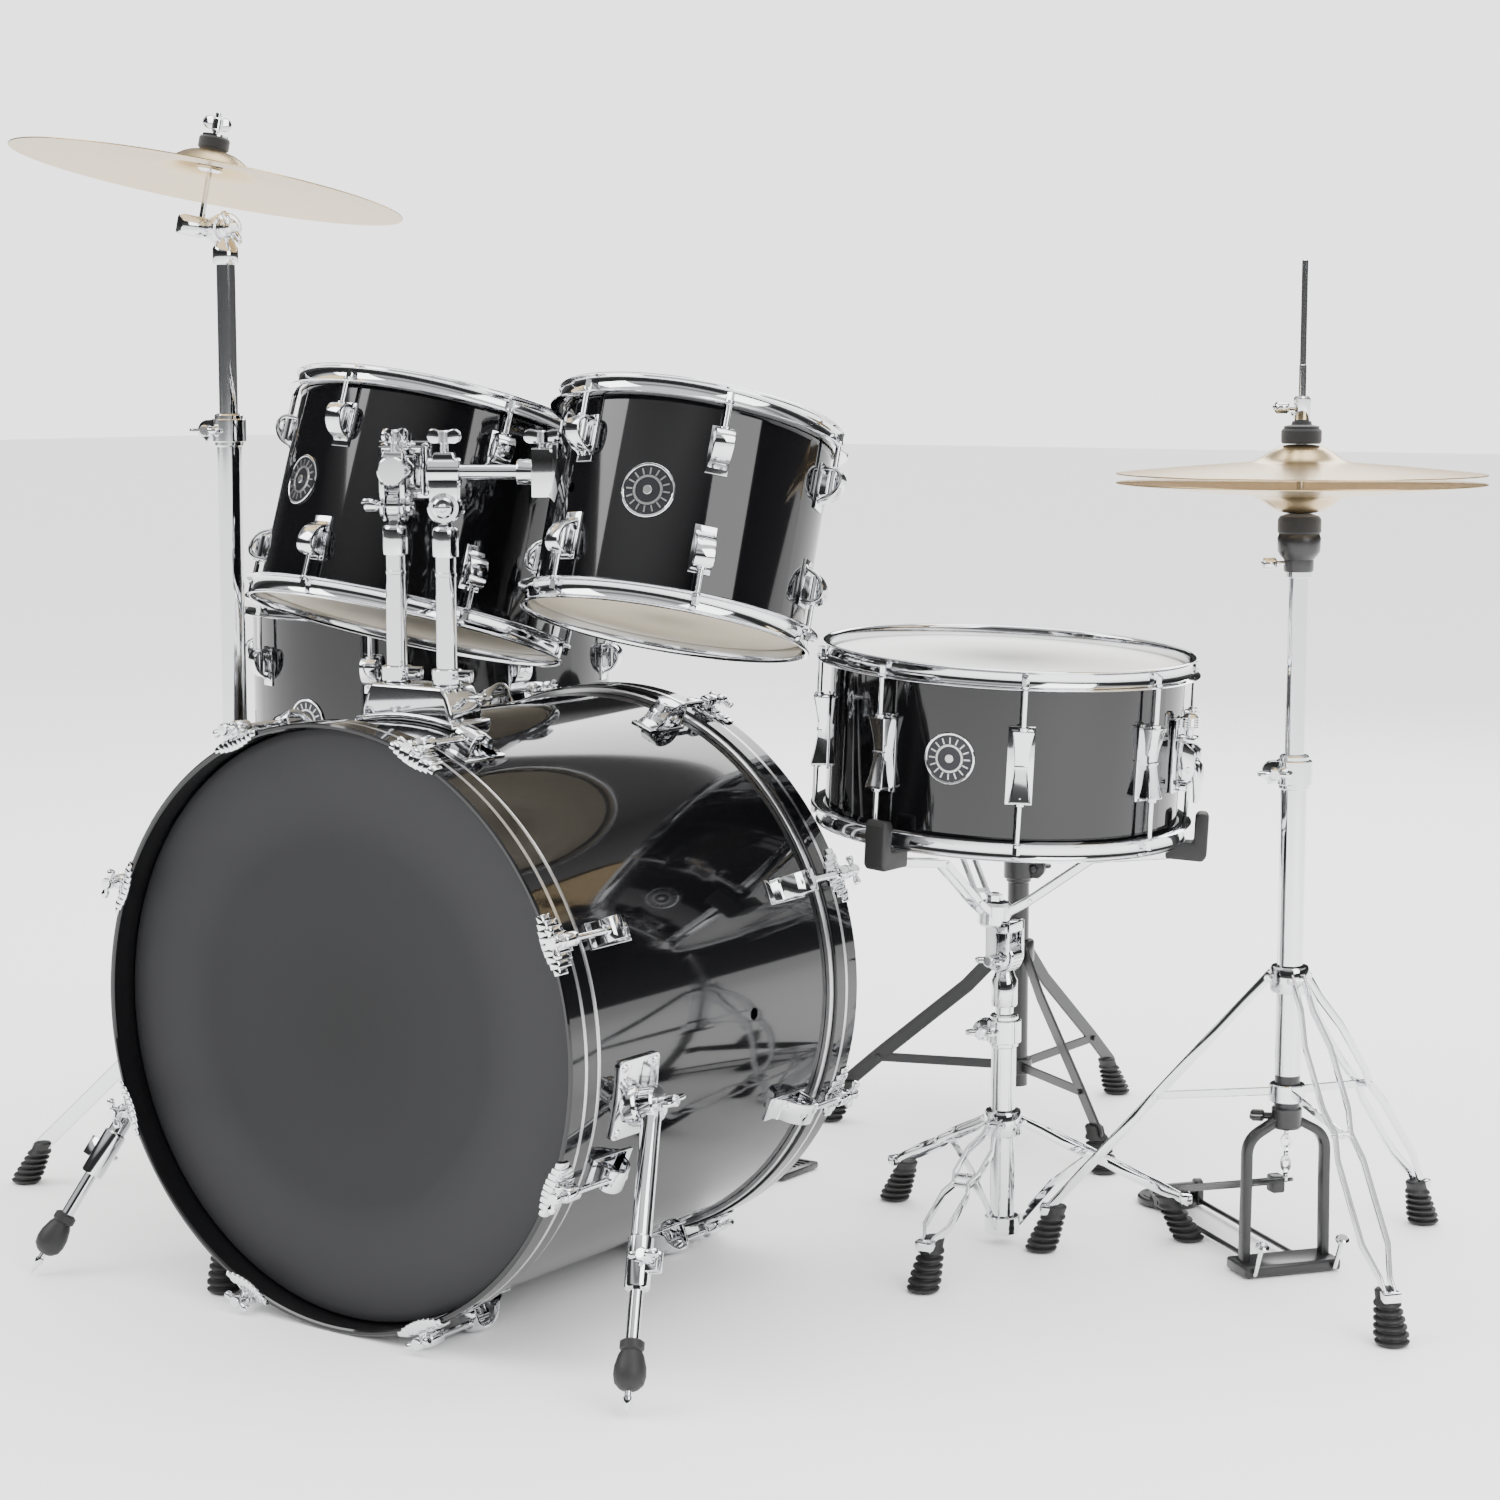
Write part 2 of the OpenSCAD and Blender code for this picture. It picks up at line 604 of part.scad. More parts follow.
module snare_lever() {
    r = snare_d / 2;
    color("#c9ccd0") snare_place() rotate([0, 0, lever_az]) translate([r + 17, 0, -12]) {
        rotate([90, 0, 0]) cylinder(r = 3, h = 34, center = true);
        rotate([90, 0, 0]) cylinder(r = 6, h = 17, center = true);
        translate([4, -8, -28]) cube([4, 16, 32]);
        for (s = [-1, 1]) translate([4, s * 7 - 1, -28]) cube([7, 2, 32]);
    }
}

// Coiled snare wires under the lower head, held by a plate at each end.
module snare_wires() {
    low = -snare_depth / 2 - 2.6;
    color("#b9bcc0") snare_place() rotate([0, 0, lever_az]) {
        for (i = [-9:9]) translate([-126, i * 2.2, low]) rotate([0, 90, 0]) cylinder(r = 0.7, h = 252, $fn = 6);
        for (s = [-1, 1]) translate([s * 132, 0, low]) cube([14, 44, 1.6], center = true);
    }
}

// ---------- snare stand ----------

basket_pivot_z = 300;
basket_drop = 89;       // hub below the drum's lower hoop

// Arms hold the drum's lower hoop on three rubber claws; cheeks carry them on the tilt bolt.
module snare_basket() {
    hoop_low = -snare_depth / 2 - rim_out - gap;
    r = snare_d / 2 + 15;
    color("#2a2a2c") {
        snare_place() translate([0, 0, hoop_low]) {
            translate([0, 0, -basket_drop - 12]) cylinder(r = 17, h = 24);
            for (a = [25, 145, 265]) rotate([0, 0, a]) {
                bar([14, -basket_drop], [96, -24], 9, 7);
                bar([92, -25], [r - 6, -14], 9, 7);
                translate([r - 22, -12, -14]) cube([38, 24, 14]);
                translate([r + 3, -12, -4]) cube([13, 24, 34]);
            }
        }
        translate([snare_stand.x, snare_stand.y, basket_pivot_z]) {
            for (s = [-1, 1]) translate([-12, s * 15 - 3, -12]) cube([24, 6, 46]);
            translate([-12, -18, 22]) cube([24, 36, 16]);
            rotate([90, 0, 0]) cylinder(r = 4, h = 44, center = true);
        }
    }
}

module snare_upper_tube() {
    color("#c9ccd0") translate([snare_stand.x, snare_stand.y, 0]) difference() {
        union() {
            translate([0, 0, 60]) cylinder(r = upper_r, h = basket_pivot_z - 60);
            translate([0, 0, basket_pivot_z]) rotate([90, 0, 0]) cylinder(r = 16, h = 22, center = true);
            translate([0, 0, 246]) cylinder(r = 13.5, h = 32);
        }
        translate([0, 0, basket_pivot_z]) rotate([90, 0, 0]) cylinder(r = 4 + fit_gap, h = 60, center = true);
    }
}

// ---------- shared stand parts ----------

module stand_legs() {
    color("#c9ccd0") {
        translate(snare_stand) tripod(128, snare_leg_r, snare_leg_az, 20, 90);
        translate(hat_stand) tripod(300, hat_leg_r, hat_leg_az, 182, 130);
        translate(crash_stand) tripod(262, crash_leg_r, crash_leg_az, 150, 150, single = true);
    }
}

module stand_tubes() {
    color("#c9ccd0") {
        translate(snare_stand) lower_tube(12, 240, 200);
        translate(hat_stand) lower_tube(200, 520, 200);
        translate(crash_stand) lower_tube(120, 850, 200);
    }
}

module stand_feet(leg_r, leg_az, single = false) {
    around(3, leg_az) rubber_foot(leg_r, single);
}

module rubber_feet() {
    color("#1a1a1a") {
        translate(snare_stand) stand_feet(snare_leg_r, snare_leg_az);
        translate(hat_stand) stand_feet(hat_leg_r, hat_leg_az);
        translate(crash_stand) stand_feet(crash_leg_r, crash_leg_az, single = true);
        translate(throne_at) stand_feet(throne_leg_r, throne_leg_az, single = true);
    }
}

// ---------- hi-hat ----------

hat_seat_z = 736;
hat_bottom_rim = 785;
hat_top_rim = 794;
hat_rise = 13;
hat_bell = 15.5;

module hihat_upper_tube() {
    color("#c9ccd0") translate(hat_stand) difference() {
        union() {
            translate([0, 0, 380]) cylinder(r = upper_r, h = hat_seat_z - 40 - 380);
            translate([0, 0, hat_seat_z - 44]) cylinder(r = 14, h = 22);
            translate([0, 0, hat_seat_z - 22]) cylinder(r1 = 14, r2 = 21, h = 12);
            translate([0, 0, hat_seat_z - 10]) cylinder(r = 21, h = 29.5);
        }
        translate([0, 0, 300]) cylinder(r = 4, h = 600);
    }
}

// Pull rod with the clutch that carries the top cymbal, and the chain at its foot.
module hihat_pull_rod() {
    color("#c9ccd0") translate(hat_stand) {
        translate([0, 0, 150]) cylinder(r = 3.5, h = 752);
        translate([0, 0, 901]) cylinder(r = 3, h = 101);
        translate([0, 0, 96]) for (i = [0:4]) translate([0, 0, i * 12]) rotate([0, 0, i * 90]) cube([4, 9, 15], center = true);
        translate([0, 0, 824.1]) cylinder(r = 19, h = 15);
        translate([0, 0, 811]) cylinder(r = 10, h = 9);
        translate([0, 0, 815]) cylinder(r = 4.6, h = 10);
        translate([0, 0, 839]) cylinder(r = 7.5, h = 29);
        rotate([0, 0, 215]) translate([6, 0, 860]) wing_screw(12, 13, 4);
    }
}

module hihat_top_cymbal() {
    color("#c2a878") translate([hat_stand.x, hat_stand.y, hat_top_rim]) cymbal(hat_d / 2, hat_rise, hat_bell, 1.3, 5);
}

module hihat_bottom_cymbal() {
    color("#c2a878") translate([hat_stand.x, hat_stand.y, hat_bottom_rim + 1.3])
        mirror([0, 0, 1]) cymbal(hat_d / 2, hat_rise, hat_bell, 1.3, 5);
}

// Local frame of the hi-hat pedal: origin on the floor under the rod, +X to the heel.
module hat_pedal_place() {
    translate(hat_stand) rotate([0, 0, hat_pedal_az]) children();
}

module hihat_pedal_frame() {
    w = 42;
    color("#1a1a1c") hat_pedal_place() difference() {
        union() {
            translate([0, 0, 146]) cylinder(r = 12.4, h = 53.8);
            for (s = [-1, 1]) {
                translate([-6, s * w - 5, 10]) cube([12, 10, 109]);
                rotate([0, 0, s * 90]) bar([w, 114], [10.5, 156], 9, 9);
            }
            translate([-22, -w - 12, 0]) cube([44, 2 * w + 24, 14]);
            for (s = [-1, 1]) translate([0, s * 25, 0]) bar([18, 7], [hat_pedal_len - 8, 6], 4.6, 4.6);
            translate([hat_pedal_len + 2, 0, 0]) cylinder(r = 34, h = 9);
            for (s = [-1, 1]) translate([hat_pedal_len - 28, s * 24 - 4, 0]) cube([20, 8, 30]);
        }
        translate([0, 0, 100]) cylinder(r = 6, h = 130);
        translate([hat_pedal_len - 18, 0, 20]) rotate([90, 0, 0]) cylinder(r = 3 + fit_gap, h = 80, center = true);
    }
}

module hihat_footboard() {
    heel = [hat_pedal_len - 18, 20];
    toe = [14, 88];
    color("#1a1a1c") hat_pedal_place() difference() {
        union() {
            bar(toe, heel + [-6, 2], 38, 5);
            translate([heel.x, 0, heel.y]) rotate([90, 0, 0]) cylinder(r = 3, h = 62, center = true);
            translate([heel.x, 0, heel.y]) rotate([90, 0, 0]) cylinder(r = 7, h = 38, center = true);
            translate([16, -9, 76]) cube([14, 18, 14]);
        }
    }
}

// ---------- crash stand ----------

crash_pivot_z = 1040;
crash_hinge_az = -30;
crash_barrel = 34;      // length of the tilter's barrel beside the tube
crash_rod_x = -25;      // place of the cymbal rod beside the hinge
crash_rod_y = -19;
crash_tilt = 10.8;
crash_rim_h = 44;       // rim of the cymbal above the hinge, along the rod

module crash_head_place() {
    translate([crash_stand.x, crash_stand.y, crash_pivot_z]) rotate([0, 0, crash_hinge_az]) children();
}

module crash_upper_tube() {
    color("#c9ccd0") {
        translate([crash_stand.x, crash_stand.y, 640]) cylinder(r = upper_r, h = crash_pivot_z - 14 - 640);
        translate([crash_stand.x, crash_stand.y, 1004]) cylinder(r = 13, h = 20);
        crash_head_place() difference() {
            rotate([0, 90, 0]) cylinder(r = 16, h = 16, center = true);
            rotate([0, 90, 0]) cylinder(r = 4 + fit_gap, h = 60, center = true);
        }
    }
}

module crash_rod_place() {
    crash_head_place() rotate([-crash_tilt, 0, 0]) translate([crash_rod_x, crash_rod_y, 0]) children();
}

// Swinging half of the tilter with the cymbal rod, seat, sleeve and wing nut.
module crash_tilter() {
    color("#c9ccd0") {
        crash_head_place() rotate([0, 90, 0]) translate([0, 0, -crash_barrel]) {
            cylinder(r = 14, h = crash_barrel - 8.5);
            cylinder(r = 4, h = crash_barrel + 24);
        }
        crash_head_place() translate([22, 0, 0]) {
            rotate([0, 90, 0]) cylinder(r = 7, h = 5);
            rotate([50, 0, 0]) translate([0, -4, -6]) cube([9, 8, 40]);
        }
        crash_head_place() rotate([-crash_tilt, 0, 0])
            translate([crash_rod_x - 8, crash_rod_y - 7, -9]) cube([16, 7 - crash_rod_y, 20]);
        crash_rod_place() {
            cylinder(r = 3, h = 118);
            translate([0, 0, crash_rim_h + 16]) cylinder(r = 4.6, h = 34);
            translate([0, 0, crash_rim_h + 18]) cylinder(r = 13, h = 13);
            translate([0, 0, crash_rim_h + 35]) cylinder(r = 16, h = 13);
            translate([0, 0, crash_rim_h + 48]) cylinder(r = 8, h = 9);
            translate([0, 0, crash_rim_h + 52]) rotate([0, -90, 0]) wing_screw(3, 15, 5);
        }
    }
}

module crash_cymbal() {
    color("#c2a878") crash_rod_place() translate([0, 0, crash_rim_h]) cymbal(crash_d / 2, 15, 18, 1.4, 6);
}

// ---------- throne ----------

module throne_legs() {
    color("#1a1a1c") translate(throne_at) {
        tripod(215, throne_leg_r, throne_leg_az, 76, 160, single = true);
        lower_tube(52, 330, 20);
    }
}

module throne_post() {
    color("#1a1a1c") translate(throne_at) {
        translate([0, 0, 180]) cylinder(r = upper_r, h = seat_top - 98 - 180);
        translate([0, 0, seat_top - 128]) cylinder(r = 16, h = 22);
    }
}

module throne_seat() {
    color("#161617") translate([throne_at.x, throne_at.y, seat_top]) rotate_extrude($fn = 96) polygon(concat(
        [[0, -97.6], [40, -97.6], [40, -88], [seat_d / 2 - 12, -88]],
        [for (a = [-80:20:80]) [seat_d / 2 - 12 + 12 * cos(a), -48 + 38 * sin(a)]],
        [[seat_d / 2 - 30, -3], [0, 0]]
    ));
}

// ---------- bass drum pedal ----------

module bass_pedal_base() {
    color("#1a1a1c") difference() {
        union() {
            translate([-46, 240, 0]) cube([92, 46, 9]);
            translate([-14, 210, 7.5]) cube([28, 40, 9]);
            for (s = [-1, 1]) translate([s * 40 - 5, beater_pivot.y - 7, 0]) cube([10, 14, beater_pivot.z + 12]);
            for (s = [-1, 1]) translate([s * 26 - 2.5, 280, 0]) cube([5, 175, 5]);
            translate([-46, heel_y - 14, 0]) cube([92, 74, 9]);
            for (s = [-1, 1]) translate([s * 30 - 4, heel_y - 10, 0]) cube([8, 20, 32]);
        }
        translate(beater_pivot) rotate([0, 90, 0]) cylinder(r = 5 + fit_gap, h = 200, center = true);
        translate([0, heel_y, 22]) rotate([0, 90, 0]) cylinder(r = 3 + fit_gap, h = 200, center = true);
    }
}

module bass_pedal_footboard() {
    color("#1a1a1c") translate([0, heel_y, 22]) {
        rotate([0, 90, 0]) cylinder(r = 3, h = 70, center = true);
        rotate([0, 90, 0]) cylinder(r = 8, h = 48, center = true);
        rotate([0, 0, -90]) bar([4, 2], [180, 64], 50, 5);
    }
}

// Axle with its cam, the beater's shaft and the felt head.
module bass_pedal_beater() {
    color("#b9bcc0") translate(beater_pivot) {
        rotate([0, 90, 0]) cylinder(r = 5, h = 92, center = true);
        rotate([0, 90, 0]) cylinder(r = 15, h = 16, center = true);
        rod_between([5, 0, 0], [5, 50, 137], 3.5);
        translate([5, 49, 135]) rotate([55, 0, 0]) cylinder(r = 22, h = 44, center = true);
    }
}

at_origin() bass_shell();
at_origin() bass_heads();
at_origin() bass_hoops();
at_origin() drum_lugs();
at_origin() bass_claws();
at_origin() bass_key_rods();
at_origin() spur_brackets();
at_origin() spur_left();
at_origin() spur_right();
at_origin() spur_left_rod();
at_origin() spur_right_rod();
at_origin() tom_mount_base();
at_origin() tom_post_left();
at_origin() tom_post_right();
at_origin() tom_arm_left();
at_origin() tom_arm_right();
at_origin() tom12_shell();
at_origin() tom12_heads();
at_origin() tom12_hoops();
at_origin() tom12_lugs();
at_origin() tom12_rods();
at_origin() tom10_shell();
at_origin() tom10_heads();
at_origin() tom10_hoops();
at_origin() tom10_lugs();
at_origin() tom10_rods();
at_origin() floor_tom_shell();
at_origin() floor_tom_heads();
at_origin() floor_tom_hoops();
at_origin() floor_tom_rods();
at_origin() floor_tom_leg_brackets();
at_origin() floor_tom_legs();
at_origin() snare_shell();
at_origin() snare_heads();
at_origin() snare_hoops();
at_origin() snare_lugs();
at_origin() snare_rods();
at_origin() snare_strainer();
at_origin() snare_lever();
at_origin() snare_wires();
at_origin() snare_basket();
at_origin() snare_upper_tube();
at_origin() stand_legs();
at_origin() stand_tubes();
at_origin() rubber_feet();
at_origin() hihat_upper_tube();
at_origin() hihat_pull_rod();
at_origin() hihat_top_cymbal();
at_origin() hihat_bottom_cymbal();
at_origin() hihat_pedal_frame();
at_origin() hihat_footboard();
at_origin() crash_upper_tube();
at_origin() crash_tilter();
at_origin() crash_cymbal();
at_origin() throne_legs();
at_origin() throne_post();
at_origin() throne_seat();
at_origin() bass_pedal_base();
at_origin() bass_pedal_footboard();
at_origin() bass_pedal_beater();
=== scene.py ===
"""Blender add-on that builds the visible pieces of an acoustic drum kit."""

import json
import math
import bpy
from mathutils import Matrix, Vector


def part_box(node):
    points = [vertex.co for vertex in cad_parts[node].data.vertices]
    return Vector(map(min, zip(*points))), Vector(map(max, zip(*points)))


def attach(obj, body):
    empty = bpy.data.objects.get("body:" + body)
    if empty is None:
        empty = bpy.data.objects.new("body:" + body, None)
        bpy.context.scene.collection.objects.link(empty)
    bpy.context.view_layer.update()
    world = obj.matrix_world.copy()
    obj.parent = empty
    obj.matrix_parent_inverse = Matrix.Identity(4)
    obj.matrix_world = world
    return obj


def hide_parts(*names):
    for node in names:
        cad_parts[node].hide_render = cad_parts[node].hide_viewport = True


bl_info = {
    "name": "Acoustic Drum Kit",
    "version": (1, 0, 0),
    "blender": (4, 5, 0),
    "location": "View3D > Sidebar > Drum Kit",
    "description": "Builds the visible pieces of an acoustic drum kit around its frame",
    "category": "Object",
}

from collections import namedtuple

import bpy
from mathutils import Euler, Matrix, Vector

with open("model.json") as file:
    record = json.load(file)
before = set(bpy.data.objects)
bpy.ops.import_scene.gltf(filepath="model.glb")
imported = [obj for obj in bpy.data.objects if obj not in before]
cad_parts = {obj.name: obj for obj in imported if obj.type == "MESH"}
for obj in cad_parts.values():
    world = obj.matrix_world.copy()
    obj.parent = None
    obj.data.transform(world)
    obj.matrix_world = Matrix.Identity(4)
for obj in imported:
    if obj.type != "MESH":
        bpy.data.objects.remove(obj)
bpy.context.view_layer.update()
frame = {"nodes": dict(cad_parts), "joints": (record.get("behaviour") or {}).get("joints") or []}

MM = 0.001
TINY = 0.0005           # radius in mm that stands for a point on the axis
DOUBLES = 1e-6
UP = Vector((0, 0, 1))


# ---------- places taken from the frame ----------

def middle(node):
    low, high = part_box(node)
    return (low + high) / 2


def joint(name):
    return next(j for j in frame["joints"] if j["name"] == name)


def drum_frame(node, turn=(0, 0, 0)):
    """Frame of a drum: origin at the shell's centre, +Z along its axis."""
    return Matrix.Translation(middle(node)) @ Euler([math.radians(a) for a in turn]).to_matrix().to_4x4()


def floor_frame(node, azimuth=0):
    """Frame on the floor under a node's middle, +X turned to azimuth."""
    spot = middle(node)
    return Matrix.Translation((spot.x, spot.y, 0)) @ Matrix.Rotation(math.radians(azimuth), 4, "Z")


def turn(axis, degrees):
    return Matrix.Rotation(math.radians(degrees), 4, axis)


def shift(x=0, y=0, z=0):
    return Matrix.Translation(Vector((x, y, z)) * MM)


def aimed(start, end, roll=UP):
    """Frame at start (mm) with +Z pointing to end."""
    way = (Vector(end) - Vector(start)).normalized()
    side = roll.cross(way)
    if side.length < 1e-4:
        side = Vector((0, 1, 0)).cross(way)
    side.normalize()
    up = way.cross(side)
    place = Matrix((side, up, way)).transposed().to_4x4()
    place.translation = Vector(start) * MM
    return place


BASS_TURN = (90, 0, 0)
TOM12_TURN = (-16.3, 3.2, 0)
TOM10_TURN = (-16.75, 0.2, 0)
SNARE_TURN = (0.3, 3.15, 0)
BASS = drum_frame("bass_shell", BASS_TURN)
BASS_AXIS_Z = 287
KIT = Matrix.Translation((middle("bass_shell").x, middle("bass_shell").y, 0))

Drum = namedtuple("Drum", "place radius depth body")
TOM12 = Drum(drum_frame("tom12_shell", TOM12_TURN), 152.4, 208, "tom12")
TOM10 = Drum(drum_frame("tom10_shell", TOM10_TURN), 127, 185, "tom10")
FLOOR_TOM = Drum(drum_frame("floor_tom_shell"), 205, 355, "kit")
SNARE = Drum(drum_frame("snare_shell", SNARE_TURN), 177.8, 160, "snare_drum")
SMALL_DRUMS = {"tom12": TOM12, "tom10": TOM10, "floor_tom": FLOOR_TOM, "snare": SNARE}
BOTH = (-1, 1)          # the two sides of a mirrored pair


# ---------- sizes and colours a user may change ----------

class DrumKitSizes(bpy.types.PropertyGroup):
    bass_radius: bpy.props.FloatProperty(
        name="Bass drum radius", description="Outer radius of the bass drum's shell",
        default=0.2794, min=0.25, max=0.30, precision=4, unit="LENGTH")
    badge_radius: bpy.props.FloatProperty(
        name="Badge radius", description="Radius of the round plate on each shell",
        default=0.025, min=0.015, max=0.035, precision=4, unit="LENGTH")
    seat_radius: bpy.props.FloatProperty(
        name="Seat radius", description="Radius of the stool's seat",
        default=0.146, min=0.12, max=0.149, precision=4, unit="LENGTH")
    cymbal_thickness: bpy.props.FloatProperty(
        name="Cymbal thickness", description="Thickness of the cymbals",
        default=0.0013, min=0.0006, max=0.0015, precision=4, unit="LENGTH")


class DrumKitColours(bpy.types.PropertyGroup):
    lacquer: bpy.props.FloatVectorProperty(
        name="Lacquer", description="Colour of the shells", subtype="COLOR", size=3,
        default=(0.003, 0.003, 0.0035))
    front_head: bpy.props.FloatVectorProperty(
        name="Front head", description="Colour of the bass drum's front head", subtype="COLOR", size=3,
        default=(0.013, 0.013, 0.015))
    chrome: bpy.props.FloatVectorProperty(
        name="Chrome", description="Colour of the plated hardware", subtype="COLOR", size=3,
        default=(0.80, 0.81, 0.83))
    bronze: bpy.props.FloatVectorProperty(
        name="Bronze", description="Colour of the cymbals", subtype="COLOR", size=3,
        default=(0.66, 0.50, 0.28))


def size(name):
    """A size from the sidebar, in mm."""
    return round(getattr(bpy.context.scene.drum_kit_sizes, name) / MM, 4)


def colours():
    return bpy.context.scene.drum_kit_colours


# ---------- materials ----------

FINISHES = {}


def finish(name, colour, metallic=0.0, roughness=0.5, coat=0.0, coat_roughness=0.03, alpha=1.0, sheen=0.0,
           bump=None, extra=None):
    """A Principled material; bump is (scale, strength, distance) of fine noise."""
    if name in FINISHES:
        return FINISHES[name]
    made = bpy.data.materials.new(name)
    made.use_nodes = True
    nodes, links = made.node_tree.nodes, made.node_tree.links
    shader = nodes["Principled BSDF"]
    shader.inputs["Base Color"].default_value = (*colour, 1)
    shader.inputs["Metallic"].default_value = metallic
    shader.inputs["Roughness"].default_value = roughness
    shader.inputs["Coat Weight"].default_value = coat
    shader.inputs["Coat Roughness"].default_value = coat_roughness
    shader.inputs["Alpha"].default_value = alpha
    shader.inputs["Sheen Weight"].default_value = sheen
    if bump:
        place = nodes.new("ShaderNodeTexCoord")
        noise = nodes.new("ShaderNodeTexNoise")
        noise.inputs["Scale"].default_value = bump[0]
        noise.inputs["Detail"].default_value = 3
        relief = nodes.new("ShaderNodeBump")
        relief.inputs["Strength"].default_value = bump[1]
        relief.inputs["Distance"].default_value = bump[2]
        links.new(place.outputs["Object"], noise.inputs["Vector"])
        links.new(noise.outputs["Fac"], relief.inputs["Height"])
        links.new(relief.outputs["Normal"], shader.inputs["Normal"])
    if extra:
        extra(made, shader)
    FINISHES[name] = made
    return made


def chrome():
    return finish("polished_chrome", colours().chrome, 1, 0.07)


def lacquer():
    return finish("black_lacquer", colours().lacquer, 0, 0.06, coat=0.2, coat_roughness=0.015)


def charcoal_film():
    return finish("charcoal_film", colours().front_head, 0, 0.62, bump=(900, 0.05, 0.0002))


def coated_film():
    return finish("coated_white_film", (0.80, 0.80, 0.79), 0, 0.5, bump=(1500, 0.15, 0.0002))


def clear_film():
    return finish("cloudy_film", (0.60, 0.53, 0.41), 0, 0.45)


def black_steel():
    return finish("black_powder_coat", (0.014, 0.014, 0.015), 0.2, 0.34, coat=0.3, coat_roughness=0.2)


def black_rubber():
    return finish("black_rubber", (0.012, 0.012, 0.012), 0, 0.55, bump=(300, 0.1, 0.0004))


def black_felt():
    return finish("black_felt", (0.012, 0.012, 0.013), 0, 0.95, sheen=0.3, bump=(700, 0.5, 0.0008))


def grey_felt():
    return finish("grey_felt", (0.42, 0.41, 0.38), 0, 0.95, sheen=0.3, bump=(600, 0.5, 0.0008))


def wire_steel():
    return finish("wire_steel", (0.60, 0.60, 0.61), 1, 0.25)


def seat_vinyl():
    return finish("seat_vinyl", (0.014, 0.014, 0.015), 0, 0.42, coat=0.2, coat_roughness=0.3,
                  bump=(260, 0.25, 0.0006))


def satin_silver():
    return finish("satin_silver", (0.62, 0.62, 0.63), 1, 0.3)


def badge_ink():
    return finish("badge_ink", (0.035, 0.035, 0.04), 0.6, 0.3)


def bronze(name, place):
    """Lathed bronze: fine rings around the cymbal's own axis."""
    def rings(made, shader):
        nodes, links = made.node_tree.nodes, made.node_tree.links
        coords = nodes.new("ShaderNodeTexCoord")
        centre = nodes.new("ShaderNodeMapping")
        centre.vector_type = "TEXTURE"
        centre.inputs["Location"].default_value = place.to_translation()
        centre.inputs["Rotation"].default_value = place.to_euler()
        split = nodes.new("ShaderNodeSeparateXYZ")
        flat = nodes.new("ShaderNodeCombineXYZ")
        length = nodes.new("ShaderNodeVectorMath")
        length.operation = "LENGTH"
        spread = nodes.new("ShaderNodeCombineXYZ")
        noise = nodes.new("ShaderNodeTexNoise")
        noise.inputs["Scale"].default_value = 420
        noise.inputs["Detail"].default_value = 4
        relief = nodes.new("ShaderNodeBump")
        relief.inputs["Strength"].default_value = 0.35
        relief.inputs["Distance"].default_value = 0.0006
        tone = nodes.new("ShaderNodeMix")
        tone.data_type = "RGBA"
        tone.inputs["A"].default_value = (*[c * 0.80 for c in colours().bronze], 1)
        tone.inputs["B"].default_value = (*colours().bronze, 1)
        links.new(coords.outputs["Object"], centre.inputs["Vector"])
        links.new(centre.outputs["Vector"], split.inputs["Vector"])
        links.new(split.outputs["X"], flat.inputs["X"])
        links.new(split.outputs["Y"], flat.inputs["Y"])
        links.new(flat.outputs["Vector"], length.inputs[0])
        links.new(length.outputs["Value"], spread.inputs["X"])
        links.new(spread.outputs["Vector"], noise.inputs["Vector"])
        links.new(noise.outputs["Fac"], relief.inputs["Height"])
        links.new(relief.outputs["Normal"], shader.inputs["Normal"])
        links.new(noise.outputs["Fac"], tone.inputs["Factor"])
        links.new(tone.outputs["Result"], shader.inputs["Base Color"])
    return finish(name, colours().bronze, 1, 0.27, extra=rings)


# ---------- modelling by hand, all sizes in mm ----------

def select_only(*objects):
    if bpy.context.mode != "OBJECT":
        bpy.ops.object.mode_set(mode="OBJECT")
    bpy.ops.object.select_all(action="DESELECT")
    for obj in objects:
        obj.select_set(True)
    if objects:
        bpy.context.view_layer.objects.active = objects[0]


def start_edit(obj):
    select_only(obj)
    bpy.ops.object.mode_set(mode="EDIT")
    bpy.ops.mesh.select_all(action="SELECT")


def close_edit(tidy=True):
    bpy.ops.mesh.select_all(action="SELECT")
    if tidy:
        bpy.ops.mesh.remove_doubles(threshold=DOUBLES)
        bpy.ops.mesh.normals_make_consistent(inside=False)
    bpy.ops.object.mode_set(mode="OBJECT")


def put(obj, place):
    """Move a piece by a matrix and keep the move in its mesh."""
    select_only(obj)
    obj.matrix_world = place @ obj.matrix_world
    bpy.ops.object.transform_apply(location=True, rotation=True, scale=True)
    return obj


def joined(*parts):
    select_only(*parts)
    if len(parts) > 1:
        bpy.ops.object.join()
    return bpy.context.view_layer.objects.active


def repeated(obj, places):
    """One copy of obj, with its own mesh, at every place, joined to one piece."""
    copies = []
    for place in places:
        select_only(obj)
        bpy.ops.object.duplicate()
        copy = bpy.context.view_layer.objects.active
        copy.matrix_world = place
        copies.append(copy)
    bpy.data.objects.remove(obj)
    select_only(*copies)
    bpy.ops.object.transform_apply(location=True, rotation=True, scale=True)
    return joined(*copies)


def around(count, start=0):
    return [turn("Z", start + i * 360 / count) for i in range(count)]


